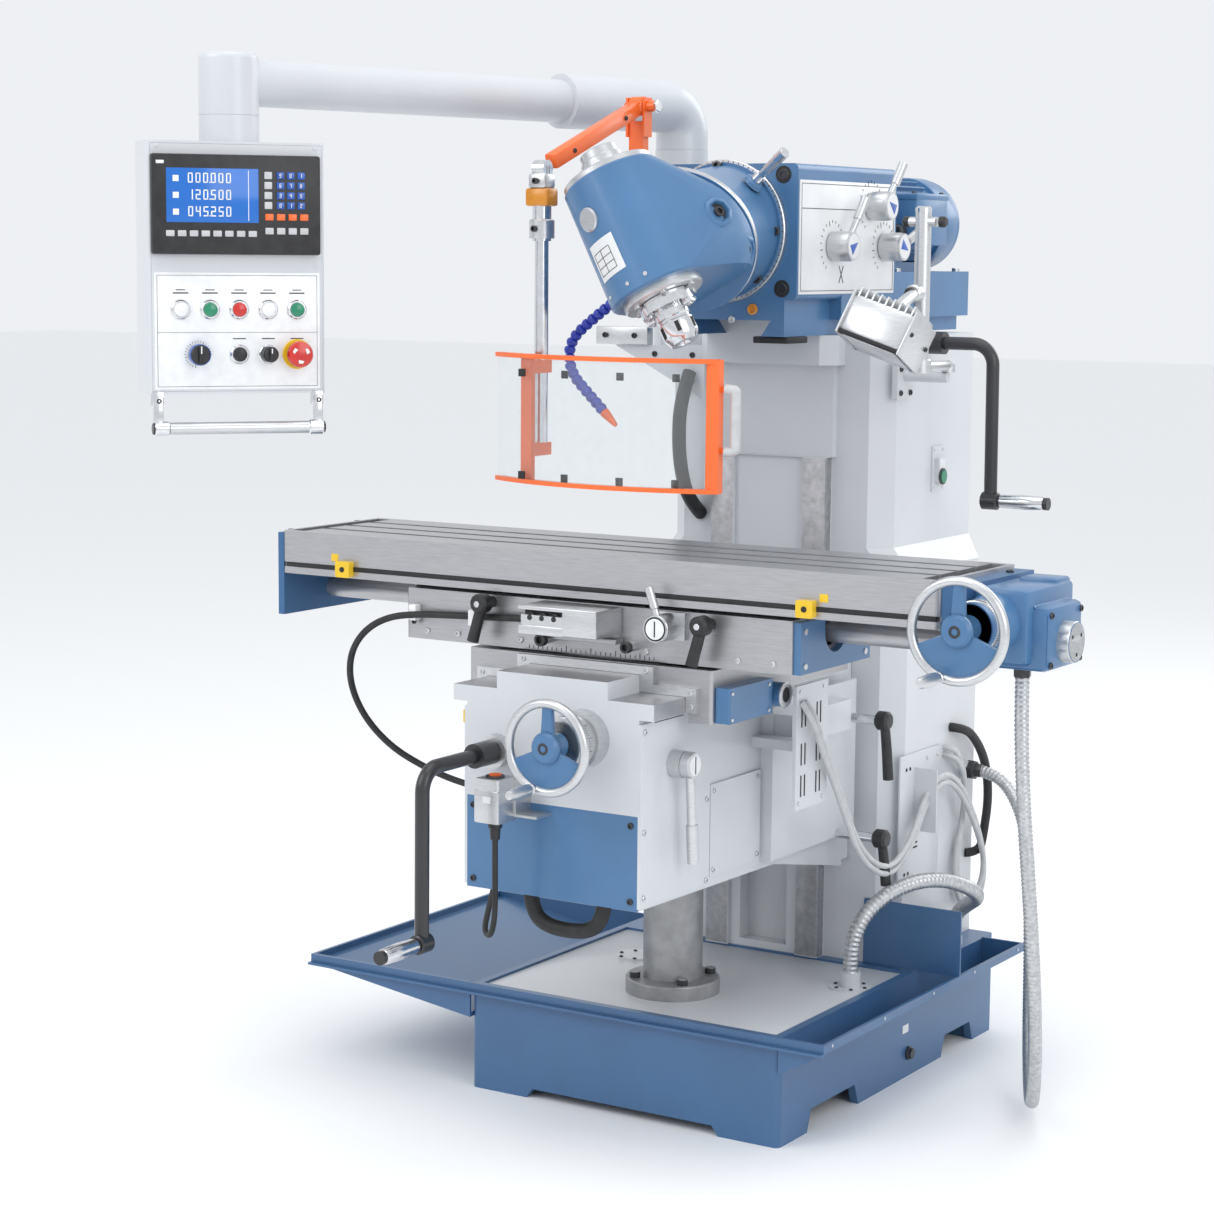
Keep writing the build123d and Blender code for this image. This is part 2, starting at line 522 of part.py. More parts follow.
def make_swivel_base():
    with BuildPart() as swivel:
        block(-SWIVEL_HALF_X, SWIVEL_HALF_X, SWIVEL_FRONT, SWIVEL_BACK, SADDLE_TOP_Z + DISC_H, SWIVEL_TOP_Z)
        fillet(swivel.edges().filter_by(Axis.Z), 5)
        with Locations((0, TABLE_AXIS_Y, SADDLE_TOP_Z + DISC_H)):
            Cylinder(SWIVEL_DISC_R, 2 * DISC_H)
        with BuildSketch(Plane.YZ.offset(-SWIVEL_HALF_X)):
            with BuildLine():
                Polyline((TABLE_AXIS_Y - TABLE_DOVE_TOP, SWIVEL_TOP_Z),
                         (TABLE_AXIS_Y - TABLE_DOVE_BOTTOM, SWIVEL_TOP_Z + 7.7),
                         (TABLE_AXIS_Y + TABLE_DOVE_BOTTOM, SWIVEL_TOP_Z + 7.7),
                         (TABLE_AXIS_Y + TABLE_DOVE_TOP, SWIVEL_TOP_Z), close=True)
            make_face()
        extrude(amount=2 * SWIVEL_HALF_X)
        rod((-SWIVEL_HALF_X - 1, TABLE_AXIS_Y, SCREW_Z), (SWIVEL_HALF_X + 1, TABLE_AXIS_Y, SCREW_Z),
            SCREW_R + 6, mode=Mode.SUBTRACT)
    store(swivel, "swivel_base")
    with BuildPart() as cover:
        block(SWIVEL_HALF_X, SWIVEL_HALF_X + 12, SWIVEL_FRONT + 6, SWIVEL_BACK - 2, 762, SWIVEL_TOP_Z - 3)
        rod((SWIVEL_HALF_X, TABLE_AXIS_Y, SCREW_Z + 6), (SWIVEL_HALF_X + 14, TABLE_AXIS_Y, SCREW_Z + 6),
            36, mode=Mode.SUBTRACT)
        block(SWIVEL_HALF_X, SWIVEL_HALF_X + 14, TABLE_AXIS_Y - 36, TABLE_AXIS_Y + 36, SCREW_Z + 6, SWIVEL_TOP_Z,
              mode=Mode.SUBTRACT)
    store(cover, "swivel_end_cover")
    front = SWIVEL_FRONT
    with BuildPart() as feed:
        block(-84, 54, front - 6, front, 792, 842)
        block(-84, -6, front - 72, front - 6, 800, 828)
        block(-6, 54, front - 72, front - 6, 800, 838)
        fillet(feed.edges().filter_by(Axis.Z).filter_by(lambda e: e.center().Y < front - 70), 4)
        for x, z in ((-72, 784), (83, 785)):
            rod((x, front, z), (x, front - 26, z), 8)
        rod((145, front, 820), (145, front - 34, 820), 21)
        block(118, 172, front - 8, front, 800, 842)
    store(feed, "feed_controls")
    with BuildPart() as lever:
        rod((145, front - 34 - SLIDE_GAP, 820), (145, front - 50, 820), 20)
        rod((145, front - 42, 836), (128, front - 42, 880), 5)
    store(lever, "feed_lever")
    for name, x, z in (("table_clamp_left", -185, 832), ("table_clamp_right", 213, 828)):
        with BuildPart() as clamp:
            rod((x, front - SLIDE_GAP, z), (x, front - 26, z), 9)
            rod((x, front - 18, z), (x, front - 40, z), 14)
            rod((x, front - 30, z - 6), (x - 12, front - 36, z - CLAMP_LEVER_L), 9)
        store(clamp, name)


def make_table():
    with BuildPart() as table:
        block(-TABLE_HALF_X, TABLE_HALF_X, TABLE_FRONT, TABLE_BACK, TABLE_BOTTOM_Z, TABLE_TOP_Z)
        fillet(table.edges().filter_by(Axis.Z), 8)
        for i in (-1, 0, 1):
            y = TABLE_AXIS_Y + i * T_SLOT_PITCH
            inner = TABLE_HALF_X - TROUGH_W
            block(-inner, inner, y - T_SLOT_W / 2, y + T_SLOT_W / 2, TABLE_TOP_Z - T_SLOT_DEPTH, TABLE_TOP_Z + 1,
                  mode=Mode.SUBTRACT)
            block(-inner, inner, y - T_SLOT_FOOT_W / 2, y + T_SLOT_FOOT_W / 2, TABLE_TOP_Z - T_SLOT_DEPTH,
                  TABLE_TOP_Z - T_SLOT_DEPTH + T_SLOT_FOOT_H, mode=Mode.SUBTRACT)
        for side in (-1, 1):
            low, high = sorted((side * (TABLE_HALF_X - TROUGH_W), side * (TABLE_HALF_X - 9)))
            block(low, high, TABLE_FRONT + 14, TABLE_BACK - 14, TABLE_TOP_Z - TROUGH_DEPTH,
                  TABLE_TOP_Z + 1, mode=Mode.SUBTRACT)
        block(-TABLE_HALF_X - 1, TABLE_HALF_X + 1, TABLE_AXIS_Y - 84, TABLE_AXIS_Y + 84, TABLE_BOTTOM_Z - 1,
              TABLE_BOTTOM_Z + 14, mode=Mode.SUBTRACT)
        block(-TABLE_HALF_X - 1, TABLE_HALF_X + 1, TABLE_FRONT - 1, TABLE_FRONT + 7, 862, 870, mode=Mode.SUBTRACT)
    store(table, "table")
    with BuildPart() as ends:
        x = TABLE_HALF_X
        block(-x - 12, -x, TABLE_FRONT + 4, TABLE_BACK - 4, SCREW_Z - 34, TABLE_TOP_Z - 4)
        rod((-x - 12, TABLE_AXIS_Y, SCREW_Z), (-x - 34, TABLE_AXIS_Y, SCREW_Z), 26)
        block(x, x + 30, TABLE_FRONT + 6, TABLE_BACK - 2, 800, TABLE_TOP_Z - 6)
        y = TABLE_AXIS_Y
        block(x + 30, x + 110, y - 82, y + 84, GEARBOX_BOTTOM_Z + 8, 908)
        block(x + 30, x + GEARBOX_L, y - 62, y + 60, GEARBOX_BOTTOM_Z, 882)
        rod((x + 60, TABLE_AXIS_Y - 60, 862), (x + 60, -540, 862), 36)
        chamfer(ends.edges().filter_by(Axis.Y).filter_by(
            lambda e: e.center().X > x + 100 and e.length > 90), 8)
        rod((x + GEARBOX_L, y - 6, 832), (x + GEARBOX_L + 22, y - 6, 832), 29)
        rod((-x - 40, TABLE_AXIS_Y, SCREW_Z), (x + 32, TABLE_AXIS_Y, SCREW_Z), SCREW_R + RUNNING_GAP,
            mode=Mode.SUBTRACT)
    store(ends, "table_end_castings")
    with BuildPart() as screw:
        rod((-x - 30, TABLE_AXIS_Y, SCREW_Z), (x + 31, TABLE_AXIS_Y, SCREW_Z), SCREW_R)
    store(screw, "table_screw")
    with BuildPart() as dogs:
        for x_dog in (-462, 384):
            block(x_dog - 14, x_dog + 14, TABLE_FRONT - 13, TABLE_FRONT, 853, 879)
            block(x_dog - 8, x_dog + 8, TABLE_FRONT, TABLE_FRONT + 6, 863, 869)
        fillet(dogs.edges().filter_by(Axis.Y).filter_by(lambda e: e.length > 12), 3)
    store(dogs, "trip_dogs")
    wheel = handwheel(TABLE_HALF_X + 60, -578, 862, 77, -540 - SLIDE_GAP)
    store(wheel, "table_handwheel")


# ---------------------------------------------------------------- ram and head
def make_ram():
    with BuildPart() as ram:
        block(-RAM_HALF_X, RAM_HALF_X, RAM_FRONT, RAM_BODY_BACK, RAM_STEP_Z, RAM_TOP_Z)
        fillet(ram.edges().filter_by(Axis.Y), 10)
        block(-RAM_HALF_X + 22, RAM_HALF_X - 22, RAM_FRONT, RAM_TAIL_BACK, COLUMN_TOP_Z + SLIDE_GAP, RAM_STEP_Z + 5)
        block(-RAM_HALF_X, RAM_HALF_X, 60, RAM_TAIL_BACK, COLUMN_TOP_Z + 26, RAM_TAIL_Z)
        fillet(ram.edges().filter_by(Axis.Z).group_by(Axis.Y)[-1], 12)
        block(-RAM_HALF_X + RAM_WALL, RAM_HALF_X - RAM_WALL, RAM_FRONT + RAM_WALL, RAM_BODY_BACK - RAM_WALL,
              RAM_STEP_Z + 12, RAM_TOP_Z - RAM_WALL, mode=Mode.SUBTRACT)
        with BuildSketch(Plane.XZ.offset(-RAM_FRONT + 1)):
            with BuildLine():
                g = SLIDE_GAP
                Polyline((-DOVE_TOP - g, COLUMN_TOP_Z), (-DOVE_BOTTOM - g, COLUMN_TOP_Z + DOVE_H + g),
                         (DOVE_BOTTOM + g, COLUMN_TOP_Z + DOVE_H + g), (DOVE_TOP + g, COLUMN_TOP_Z), close=True)
            make_face()
        extrude(amount=-(RAM_TAIL_BACK - RAM_FRONT + 2), mode=Mode.SUBTRACT)
    store(ram, "ram")
    side = RAM_HALF_X
    knobs = (("speed_knob_top", 158, 1460, 24, 66), ("speed_knob_left", 20, 1392, 22, 74),
             ("speed_knob_right", 208, 1392, 62, 48))
    for name, y, z, angle, reach in knobs:
        with BuildPart() as knob:
            rod((side + 3 + SLIDE_GAP, y, z), (side + 42, y, z), 23)
            a = radians(angle)
            rod((side + 30, y + 14 * sin(a), z + 14 * cos(a)),
                (side + 44, y + reach * sin(a), z + reach * cos(a)), 5.5)
            rod((side + 38, y + (reach - 26) * sin(a), z + (reach - 26) * cos(a)),
                (side + 45, y + (reach + 12) * sin(a), z + (reach + 12) * cos(a)), 8)
        store(knob, name)
    with BuildPart() as motor:
        rod((20, RAM_BODY_BACK, 1434), (20, 520, 1434), 76)
        for k in range(28):
            a = radians(k * 360 / 28)
            cx, cz = 20 + 79 * cos(a), 1434 + 79 * sin(a)
            with Locations(Location((cx, 400, cz), (0, -k * 360 / 28, 0))):
                Box(8, 200, 3)
        rod((20, 520, 1434), (20, 586, 1434), 82)
        block(86, 138, 330, 452, 1398, 1482)
        block(60, 96, 350, 432, 1404, 1474)
        block(-40, 80, 300, 500, RAM_TAIL_Z, 1366)
    store(motor, "motor")


def head_plane():
    """Head frame: origin where the swivel axis meets the spindle axis, local +Z up the spindle."""
    t = radians(HEAD_TILT)
    return Plane(origin=(0, SPINDLE_Y, SWIVEL_Z), x_dir=(cos(t), 0, sin(t)), z_dir=(-sin(t), 0, cos(t)))


LEVER_FOOT = (87.0, -151.0, 1496.0)
LEVER_RISE = radians(42.9)  # direction of its pin, out of the housing


def in_head(x, y, z):
    """Point of the head frame in the machine frame."""
    return tuple(head_plane().from_local_coords(Vector(x, y, z)))


def head_dir(x, y, z):
    start = Vector(*in_head(0, 0, 0))
    return Vector(*in_head(x, y, z)) - start


def make_head():
    tilt = radians(RING_TILT)
    ring_centre = Vector(*in_head(0, *RING_CENTRE))
    ring_plane = Plane(origin=ring_centre, x_dir=head_dir(1, 0, 0), z_dir=head_dir(0, -cos(tilt), -sin(tilt)))
    with BuildPart() as housing:
        rod((0, RAM_FRONT - SLIDE_GAP, SWIVEL_Z), (0, RAM_FRONT - 14, SWIVEL_Z), SWIVEL_R)
        with BuildSketch(Plane(origin=(0, RAM_FRONT - 14, SWIVEL_Z), x_dir=(1, 0, 0), z_dir=(0, -1, 0))):
            Circle(SWIVEL_R - 5)
        with BuildSketch(ring_plane.offset(-12)):
            Circle(RING_R - 2)
        loft()
        with BuildSketch(ring_plane.offset(-12)):
            Circle(RING_R)
        extrude(amount=12 - SLIDE_GAP)
    store(housing, "swivel_housing")
    frame = head_plane()
    with BuildPart() as head:
        with BuildSketch(frame.offset(HOUSING_BOTTOM)):
            Circle(HOUSING_R + 3)
        with BuildSketch(frame.offset(HOUSING_TOP)):
            Circle(HOUSING_R - 2)
        loft()
        with BuildSketch(ring_plane):
            Circle(RING_R - 2)
        with BuildSketch(ring_plane.offset(118)):
            Circle(HOUSING_R + 5)
        loft()
        with BuildSketch(ring_plane):
            Circle(400)
        extrude(amount=-300, mode=Mode.SUBTRACT)
        with BuildSketch(frame.offset(HOUSING_BOTTOM)):
            Circle(400)
        extrude(amount=-160, mode=Mode.SUBTRACT)
        with BuildSketch(frame.offset(HOUSING_BOTTOM - 1)):
            Circle(SPINDLE_R + RUNNING_GAP)
        extrude(amount=HOUSING_TOP - HOUSING_BOTTOM + 2, mode=Mode.SUBTRACT)
    store(head, "head_casting")
    with BuildPart() as cap:
        with BuildSketch(frame.offset(HOUSING_TOP)):
            Circle(HOUSING_R - 6)
        extrude(amount=10)
        with BuildSketch(frame.offset(HOUSING_TOP + 10)):
            Circle(34)
        extrude(amount=18)
        with BuildSketch(frame.offset(HOUSING_TOP + 28)):
            Circle(30)
        extrude(amount=14)
        with BuildSketch(ring_plane):
            Circle(400)
        extrude(amount=-300, mode=Mode.SUBTRACT)
        with BuildSketch(frame.offset(HOUSING_BOTTOM - FLANGE_H)):
            Circle(FLANGE_R)
            Circle(SPINDLE_R + 9, mode=Mode.SUBTRACT)
        extrude(amount=FLANGE_H)
    store(cap, "head_cap_and_flange")
    with BuildPart() as spindle:
        with BuildSketch(frame.offset(HOUSING_BOTTOM - FLANGE_H)):
            Circle(SPINDLE_R)
        extrude(amount=HOUSING_TOP - HOUSING_BOTTOM + FLANGE_H - 2)
        with BuildSketch(frame.offset(HOUSING_BOTTOM - FLANGE_H - 1)):
            Circle(NOSE_R)
        extrude(amount=-NOSE_H)
        with BuildSketch(frame.offset(HOUSING_BOTTOM - FLANGE_H)):
            Circle(SPINDLE_R + 4)
        extrude(amount=-4)
    store(spindle, "spindle")
    nose_face = HOUSING_BOTTOM - FLANGE_H - 1 - NOSE_H
    with BuildPart() as chuck:
        with BuildSketch(frame.offset(nose_face)):
            Circle(CHUCK_R + 2)
        extrude(amount=-18)
        with BuildSketch(frame.offset(nose_face - 18)):
            Circle(CHUCK_R)
        extrude(amount=-(CHUCK_H - 18))
        chamfer(chuck.edges().sort_by(Axis.Z)[0], 3)
        with BuildSketch(frame.offset(nose_face - CHUCK_H)):
            Circle(8)
        extrude(amount=40, mode=Mode.SUBTRACT)
    store(chuck, "collet_chuck")
    with BuildPart() as lever:
        foot = Vector(*LEVER_FOOT)
        boss = Vector(cos(LEVER_RISE), 0, sin(LEVER_RISE))
        rod(foot, foot + boss * 12, 9)
        rod(foot + boss * 5, (152, -177, 1538), 6)
        rod((136, -171.4, 1528), (152, -177, 1538), 9)
    store(lever, "shift_lever")
    hub = (COLUMN_UPPER_HALF_X + SLIDE_GAP, 205, 1232)
    store(crank(hub, (1, 0, 0), (0, 0, -1), 134, 262, 92), "ram_crank")


# ---------------------------------------------------------------- pendant, guard and lamp
def pendant_frame(z):
    """Front face frame of the pendant box at height z; local X runs right across the panel."""
    t = radians(PENDANT_TURN)
    normal = Vector(sin(t), -cos(t), 0)
    across = Vector(cos(t), sin(t), 0)
    origin = Vector(PENDANT_AT[0], PENDANT_AT[1], z) + normal * (PENDANT_D / 2)
    return Plane(origin=origin, x_dir=across, z_dir=normal)


def make_arm():
    px, py = ARM_POST
    with BuildPart() as post:
        rod((px, py, 1180), (px, py, 1560), 47)
        block(px - 10, -COLUMN_UPPER_HALF_X, py - 50, py + 90, 1170, 1230)
        block(-COLUMN_UPPER_HALF_X - 20, -COLUMN_UPPER_HALF_X, py - 70, py + 110, 1060, 1230)
    store(post, "control_arm_post")
    nx, ny = PENDANT_AT
    with BuildPart() as arm:
        pipe([(px, py, 1560 + SLIDE_GAP), (px, py, ARM_Z + 2), (px + (nx - px) * 0.3, py + (ny - py) * 0.3, ARM_Z)],
             50, 46)
        rod((px + (nx - px) * 0.09, py + (ny - py) * 0.09, ARM_Z), (nx, ny, ARM_Z), ARM_R)
        rod((nx, ny, 1582), (nx, ny, ARM_Z + 44), NECK_R)
        fillet(arm.edges().filter_by(GeomType.CIRCLE).group_by(Axis.Z)[-1], 10)
    store(arm, "control_arm")
    face = pendant_frame(PENDANT_BOTTOM_Z)
    height = PENDANT_TOP_Z - PENDANT_BOTTOM_Z
    with BuildPart() as box:
        with BuildSketch(face):
            with Locations((0, height / 2)):
                Rectangle(PENDANT_W, height)
        extrude(amount=-PENDANT_D)
        fillet(box.edges().filter_by(Axis.Z), 4)
        with BuildSketch(face):
            with Locations((0, height / 2)):
                Rectangle(PENDANT_W - 8, height - 8)
        extrude(amount=-(PENDANT_D - 4), mode=Mode.SUBTRACT)
        rod((nx, ny, PENDANT_TOP_Z - 3), (nx, ny, 1582 - SLIDE_GAP), NECK_R)
    store(box, "pendant_box")
    with BuildPart() as panel:
        with BuildSketch(face):
            with Locations((0, height / 2)):
                Rectangle(PENDANT_W - 8.6, height - 8.6)
            with Locations(*[(x, UPPER_ROW_Z - PENDANT_BOTTOM_Z) for x in UPPER_ROW_X],
                           *[(x, LOWER_ROW_Z - PENDANT_BOTTOM_Z) for x in LOWER_ROW_X]):
                Circle(BUTTON_R + BUTTON_GAP, mode=Mode.SUBTRACT)
        extrude(amount=-3)
        with BuildSketch(face):
            with Locations((-3, 1446 - PENDANT_BOTTOM_Z)):
                RectangleRounded(256, 146, 6)
        extrude(amount=12)
    store(panel, "control_panel")
    with BuildPart() as buttons:
        with BuildSketch(face.offset(-14)):
            with Locations(*[(x, UPPER_ROW_Z - PENDANT_BOTTOM_Z) for x in UPPER_ROW_X],
                           (LOWER_ROW_X[1], LOWER_ROW_Z - PENDANT_BOTTOM_Z)):
                Circle(BUTTON_R)
        extrude(amount=24)
    store(buttons, "push_buttons")
    for name, x, stem, stem_r, head_h, head_r in (("speed_dial", LOWER_ROW_X[0], 5, 9, 15, 16),
                                                  ("mode_selector", LOWER_ROW_X[2], 4, 10, 15, 12),
                                                  ("emergency_stop", LOWER_ROW_X[3], 14, 10.5, 14, 20)):
        with BuildPart() as knob:
            with BuildSketch(face.offset(-14)):
                with Locations((x, LOWER_ROW_Z - PENDANT_BOTTOM_Z)):
                    Circle(stem_r)
            extrude(amount=14 + stem)
            with BuildSketch(face.offset(stem)):
                with Locations((x, LOWER_ROW_Z - PENDANT_BOTTOM_Z)):
                    Circle(head_r)
            extrude(amount=head_h)
        store(knob, name)
    with BuildPart() as handle:
        low = pendant_frame(1108)
        ends = [low.from_local_coords(Vector(x, 0, 6)) for x in (-118, 118)]
        rod(ends[0], ends[1], 9.5)
        for x in (-124, 124):
            tops = low.from_local_coords(Vector(x, PENDANT_BOTTOM_Z - 1108 - 4, -18))
            foot = low.from_local_coords(Vector(x, -8, 6))
            rod(tops, foot, 9)
            inner = low.from_local_coords(Vector(x * 0.86, 0, 6))
            outer = low.from_local_coords(Vector(x * 1.06, 0, 6))
            rod(outer, inner, 11)
    store(handle, "pendant_handle")


GUARD_PIVOT = (-152.0, -122.0, 1618.0)
GUARD_ELBOW = (-155.0, -405.0, 1512.0)
GUARD_PIN_R = 9.0


def make_guard():
    px, py, pz = GUARD_PIVOT
    ex, ey, ez = GUARD_ELBOW
    with BuildPart() as post:
        block(px - 14, px + 14, py - 8, py + 8, 1400, pz - 24)
        block(px + 14, -RAM_HALF_X, py - 8, py + 24, 1400, 1440)
        block(-RAM_HALF_X - 3, -RAM_HALF_X, py + 22, py + 60, 1400, 1440)
        rod((px - 22, py, pz), (px + 34, py, pz), GUARD_PIN_R)
        block(px - 18, px - 14, py - 12, py + 12, pz - 50, pz + 14)
        block(px + 14, px + 18, py - 12, py + 12, pz - 50, pz + 14)
    store(post, "guard_post")
    with BuildPart() as arm:
        rod((px, py - 10, pz - 4), (ex, ey + 24, ez + 9), 12)
        rod((px - 13, py, pz), (px + 13, py, pz), GUARD_PIN_R + 6)
        rod((px - 14, py, pz), (px + 14, py, pz), GUARD_PIN_R + RUNNING_GAP, mode=Mode.SUBTRACT)
    store(arm, "guard_arm")
    with BuildPart() as hanger:
        block(ex - 20, ex + 20, ey - 16, ey + 14, 1452, 1476)
        rod((ex - 11, ey, ez - 4), (ex + 11, ey, ez - 4), 14)
        rod((ex, ey, 1476), (ex, ey, ez), 12)
        rod((ex, ey, 1396), (ex, ey, 1452), 15)
        rod((ex, ey, 1070), (ex, ey, 1396), 11)
    store(hanger, "guard_pole")
    with BuildPart() as frame:
        for z in (1022, 1218):
            with BuildLine() as rail:
                ThreePointArc((-222, -424, z), (-10, -486, z), (194, -446, z))
            with BuildSketch(Plane(origin=rail.line @ 0, z_dir=rail.line % 0, x_dir=(0, 0, 1))):
                Rectangle(7, 14)
            sweep(path=rail.line)
        block(176, 198, -455, -441, 1019, 1221)
        block(ex - 6, ex + 14, ey - 47, ey - 37, 1019, 1221)
        for z in (1070, 1200):
            block(ex - 12, ex + 12, ey - 38, ey + 13, z - 10, z + 10)
        rod((ex, ey, 1020), (ex, ey, 1221), 11 + RUNNING_GAP, mode=Mode.SUBTRACT)
        block(196, 222, -449, -441, 1080, 1088)
        block(196, 222, -449, -441, 1172, 1180)
        block(216, 224, -450, -440, 1080, 1180)
    store(frame, "guard_frame")
    with BuildPart() as panes:
        with BuildLine() as rail:
            ThreePointArc((-220, -427, 1026), (-10, -488.4, 1026), (174, -453.6, 1026))
        with BuildSketch(Plane(origin=rail.line @ 0, z_dir=rail.line % 0, x_dir=(0, 0, 1))):
            with Locations((94, 0)):
                Rectangle(188, 3)
        sweep(path=rail.line)
    store(panes, "guard_panes")


LAMP_POST = (300.0, 130.0)
LAMP_AT = (318.0, -140.0, 1262.0)


def make_lamp():
    x, y = LAMP_POST
    with BuildPart() as arm:
        rod((x, y, 1178 + 9 + SLIDE_GAP), (x, y, 1200), 11)
        rod((x, y, 1198), (x + 6, y - 120, 1200), 8)
        rod((x + 6, y - 120, 1192), (x + 6, y - 120, 1450), 13)
        rod((x - 18, y - 120, 1432), (x + 30, y - 120, 1432), 8)
    store(arm, "lamp_arm")
    cx, cy, cz = LAMP_AT
    tilt = Plane(origin=(cx, cy, cz), x_dir=(0.94, 0, -0.3), z_dir=(-0.28, -0.36, -0.89))
    with BuildPart() as lamp:
        with BuildSketch(tilt):
            RectangleRounded(118, 96, 14)
        extrude(amount=42, both=True)
        fillet(lamp.edges().group_by(Axis.Z)[-1], 8)
        with BuildSketch(tilt.offset(42)):
            RectangleRounded(106, 84, 12)
        extrude(amount=-30, mode=Mode.SUBTRACT)
        top = Vector(cx, cy, cz) - tilt.z_dir * 40
        rod(top, (x + 6, y - 148, 1318), 10)
        rod((x + 6, y - 133 - SLIDE_GAP, 1318), (x + 6, y - 156, 1318), 14)
    store(lamp, "work_lamp")


# ---------------------------------------------------------------- cords, routes chosen by hand
CONDUIT_ROUTE = (
    (655, -350, 794), (655, -350, 716), (657, -345, 624), (660, -334, 530), (662, -318, 440),
    (660, -296, 350), (654, -268, 264), (642, -232, 184), (622, -184, 112), (594, -122, 58),
    (560, -48, 30), (522, 34, 30), (486, 112, 58), (456, 178, 112), (432, 232, 184), (412, 272, 262),
    (394, 306, 334), (370, 334, 402), (336, 348, 454), (298, 350, 478), (258, 350, 478),
)
TABLE_CABLE_ROUTE = (
    (-84, -512, 812), (-124, -512, 812), (-166, -507, 809), (-216, -504, 807), (-270, -505, 805),
    (-322, -511, 803), (-370, -520, 796), (-412, -524, 774), (-444, -520, 738), (-460, -508, 694),
    (-460, -490, 648), (-444, -470, 604), (-412, -450, 566), (-370, -432, 540), (-322, -422, 522),
    (-270, -416, 512), (-214, -416, 508), (-160, -416, 508),
)
DRAIN_HOSE_ROUTE = (
    (237, -59, 199), (237, -59, 242), (248, -44, 288), (270, -12, 322), (298, 34, 340), (326, 88, 340),
    (348, 140, 322), (350, 186, 300), (334, 226, 280), (306, 258, 262), (276, 280, 240), (262, 286, 214),
    (262, 286, 191),
)


def make_cords():
    make_cord("feed_conduit", CONDUIT_ROUTE, 11)
    make_cord("table_cable", TABLE_CABLE_ROUTE, 5.5)
    make_cord("drain_hose", DRAIN_HOSE_ROUTE, 13)


make_base()
make_trays()
make_column()
make_column_fittings()
make_lift_column()
make_knee()
make_knee_controls()
make_saddle()
make_swivel_base()
make_table()
make_ram()
make_head()
make_arm()
make_guard()
make_lamp()
make_cords()
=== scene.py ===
import bpy
import bmesh
from math import cos, pi, radians, sin
from mathutils import Matrix, Vector


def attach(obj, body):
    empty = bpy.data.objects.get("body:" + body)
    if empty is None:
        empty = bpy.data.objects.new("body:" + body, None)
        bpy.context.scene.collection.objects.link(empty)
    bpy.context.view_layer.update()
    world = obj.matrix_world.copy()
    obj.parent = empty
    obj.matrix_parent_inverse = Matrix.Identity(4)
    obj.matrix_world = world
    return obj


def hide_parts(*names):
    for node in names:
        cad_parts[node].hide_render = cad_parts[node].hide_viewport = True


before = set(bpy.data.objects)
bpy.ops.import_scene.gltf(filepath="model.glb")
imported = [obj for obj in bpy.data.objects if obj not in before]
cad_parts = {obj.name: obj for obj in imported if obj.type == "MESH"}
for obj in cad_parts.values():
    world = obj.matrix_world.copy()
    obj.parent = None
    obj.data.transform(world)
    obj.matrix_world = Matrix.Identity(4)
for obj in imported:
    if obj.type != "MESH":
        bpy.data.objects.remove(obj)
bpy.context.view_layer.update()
MM = 0.001  # pieces are drawn in millimetres and scaled once, when they are finished


# ---------------------------------------------------------------- camera, light and floor
def make_camera():
    turn, dip, roll = radians(32.13), radians(7.42), radians(0.476)
    ahead = Vector((-sin(turn) * cos(dip), cos(turn) * cos(dip), -sin(dip)))
    right = Vector((cos(turn), sin(turn), 0))
    up = right.cross(ahead)
    side = right * cos(roll) + up * sin(roll)
    top = up * cos(roll) - right * sin(roll)
    camera = bpy.data.objects.new("camera", bpy.data.cameras.new("camera"))
    camera.data.lens = 80.87
    camera.data.sensor_width = 36
    camera.data.clip_end = 60
    bpy.context.scene.collection.objects.link(camera)
    camera.matrix_world = Matrix(((side.x, top.x, -ahead.x, 2.2356), (side.y, top.y, -ahead.y, -4.0099),
                                  (side.z, top.z, -ahead.z, 1.380), (0, 0, 0, 1)))
    bpy.context.scene.camera = camera


def area_light(name, place, aim, size, power):
    lamp = bpy.data.objects.new(name, bpy.data.lights.new(name, "AREA"))
    lamp.data.size = size
    lamp.data.energy = power
    lamp.location = place
    lamp.rotation_euler = (Vector(aim) - Vector(place)).to_track_quat("-Z", "Y").to_euler()
    bpy.context.scene.collection.objects.link(lamp)


def make_stage():
    world = bpy.data.worlds.new("studio")
    world.use_nodes = True
    world.node_tree.nodes["Background"].inputs[0].default_value = (0.95, 0.97, 1, 1)
    world.node_tree.nodes["Background"].inputs[1].default_value = 0.9
    bpy.context.scene.world = world
    area_light("key", (-2.2, -4.2, 3.8), (0, -0.2, 1.0), 3.0, 78)
    area_light("fill", (4.2, -1.8, 2.6), (0.1, 0, 0.9), 2.6, 50)
    area_light("top", (0.4, -0.6, 4.6), (0, 0, 0.8), 3.0, 40)
    area_light("back", (1.5, 4.2, 3.2), (0, 0, 1.0), 2.6, 50)
    mesh = bpy.data.meshes.new("floor")
    mesh.from_pydata([(-30, -30, 0), (30, -30, 0), (30, 30, 0), (-30, 30, 0)], [], [(0, 1, 2, 3)])
    floor = bpy.data.objects.new("floor", mesh)
    mat = bpy.data.materials.new("floor")
    mat.use_nodes = True
    shader = mat.node_tree.nodes["Principled BSDF"]
    shader.inputs["Base Color"].default_value = (0.93, 0.935, 0.94, 1)
    shader.inputs["Roughness"].default_value = 0.75
    mesh.materials.append(mat)
    bpy.context.scene.collection.objects.link(floor)
    bpy.context.scene.view_settings.view_transform = "Standard"


make_camera()
make_stage()


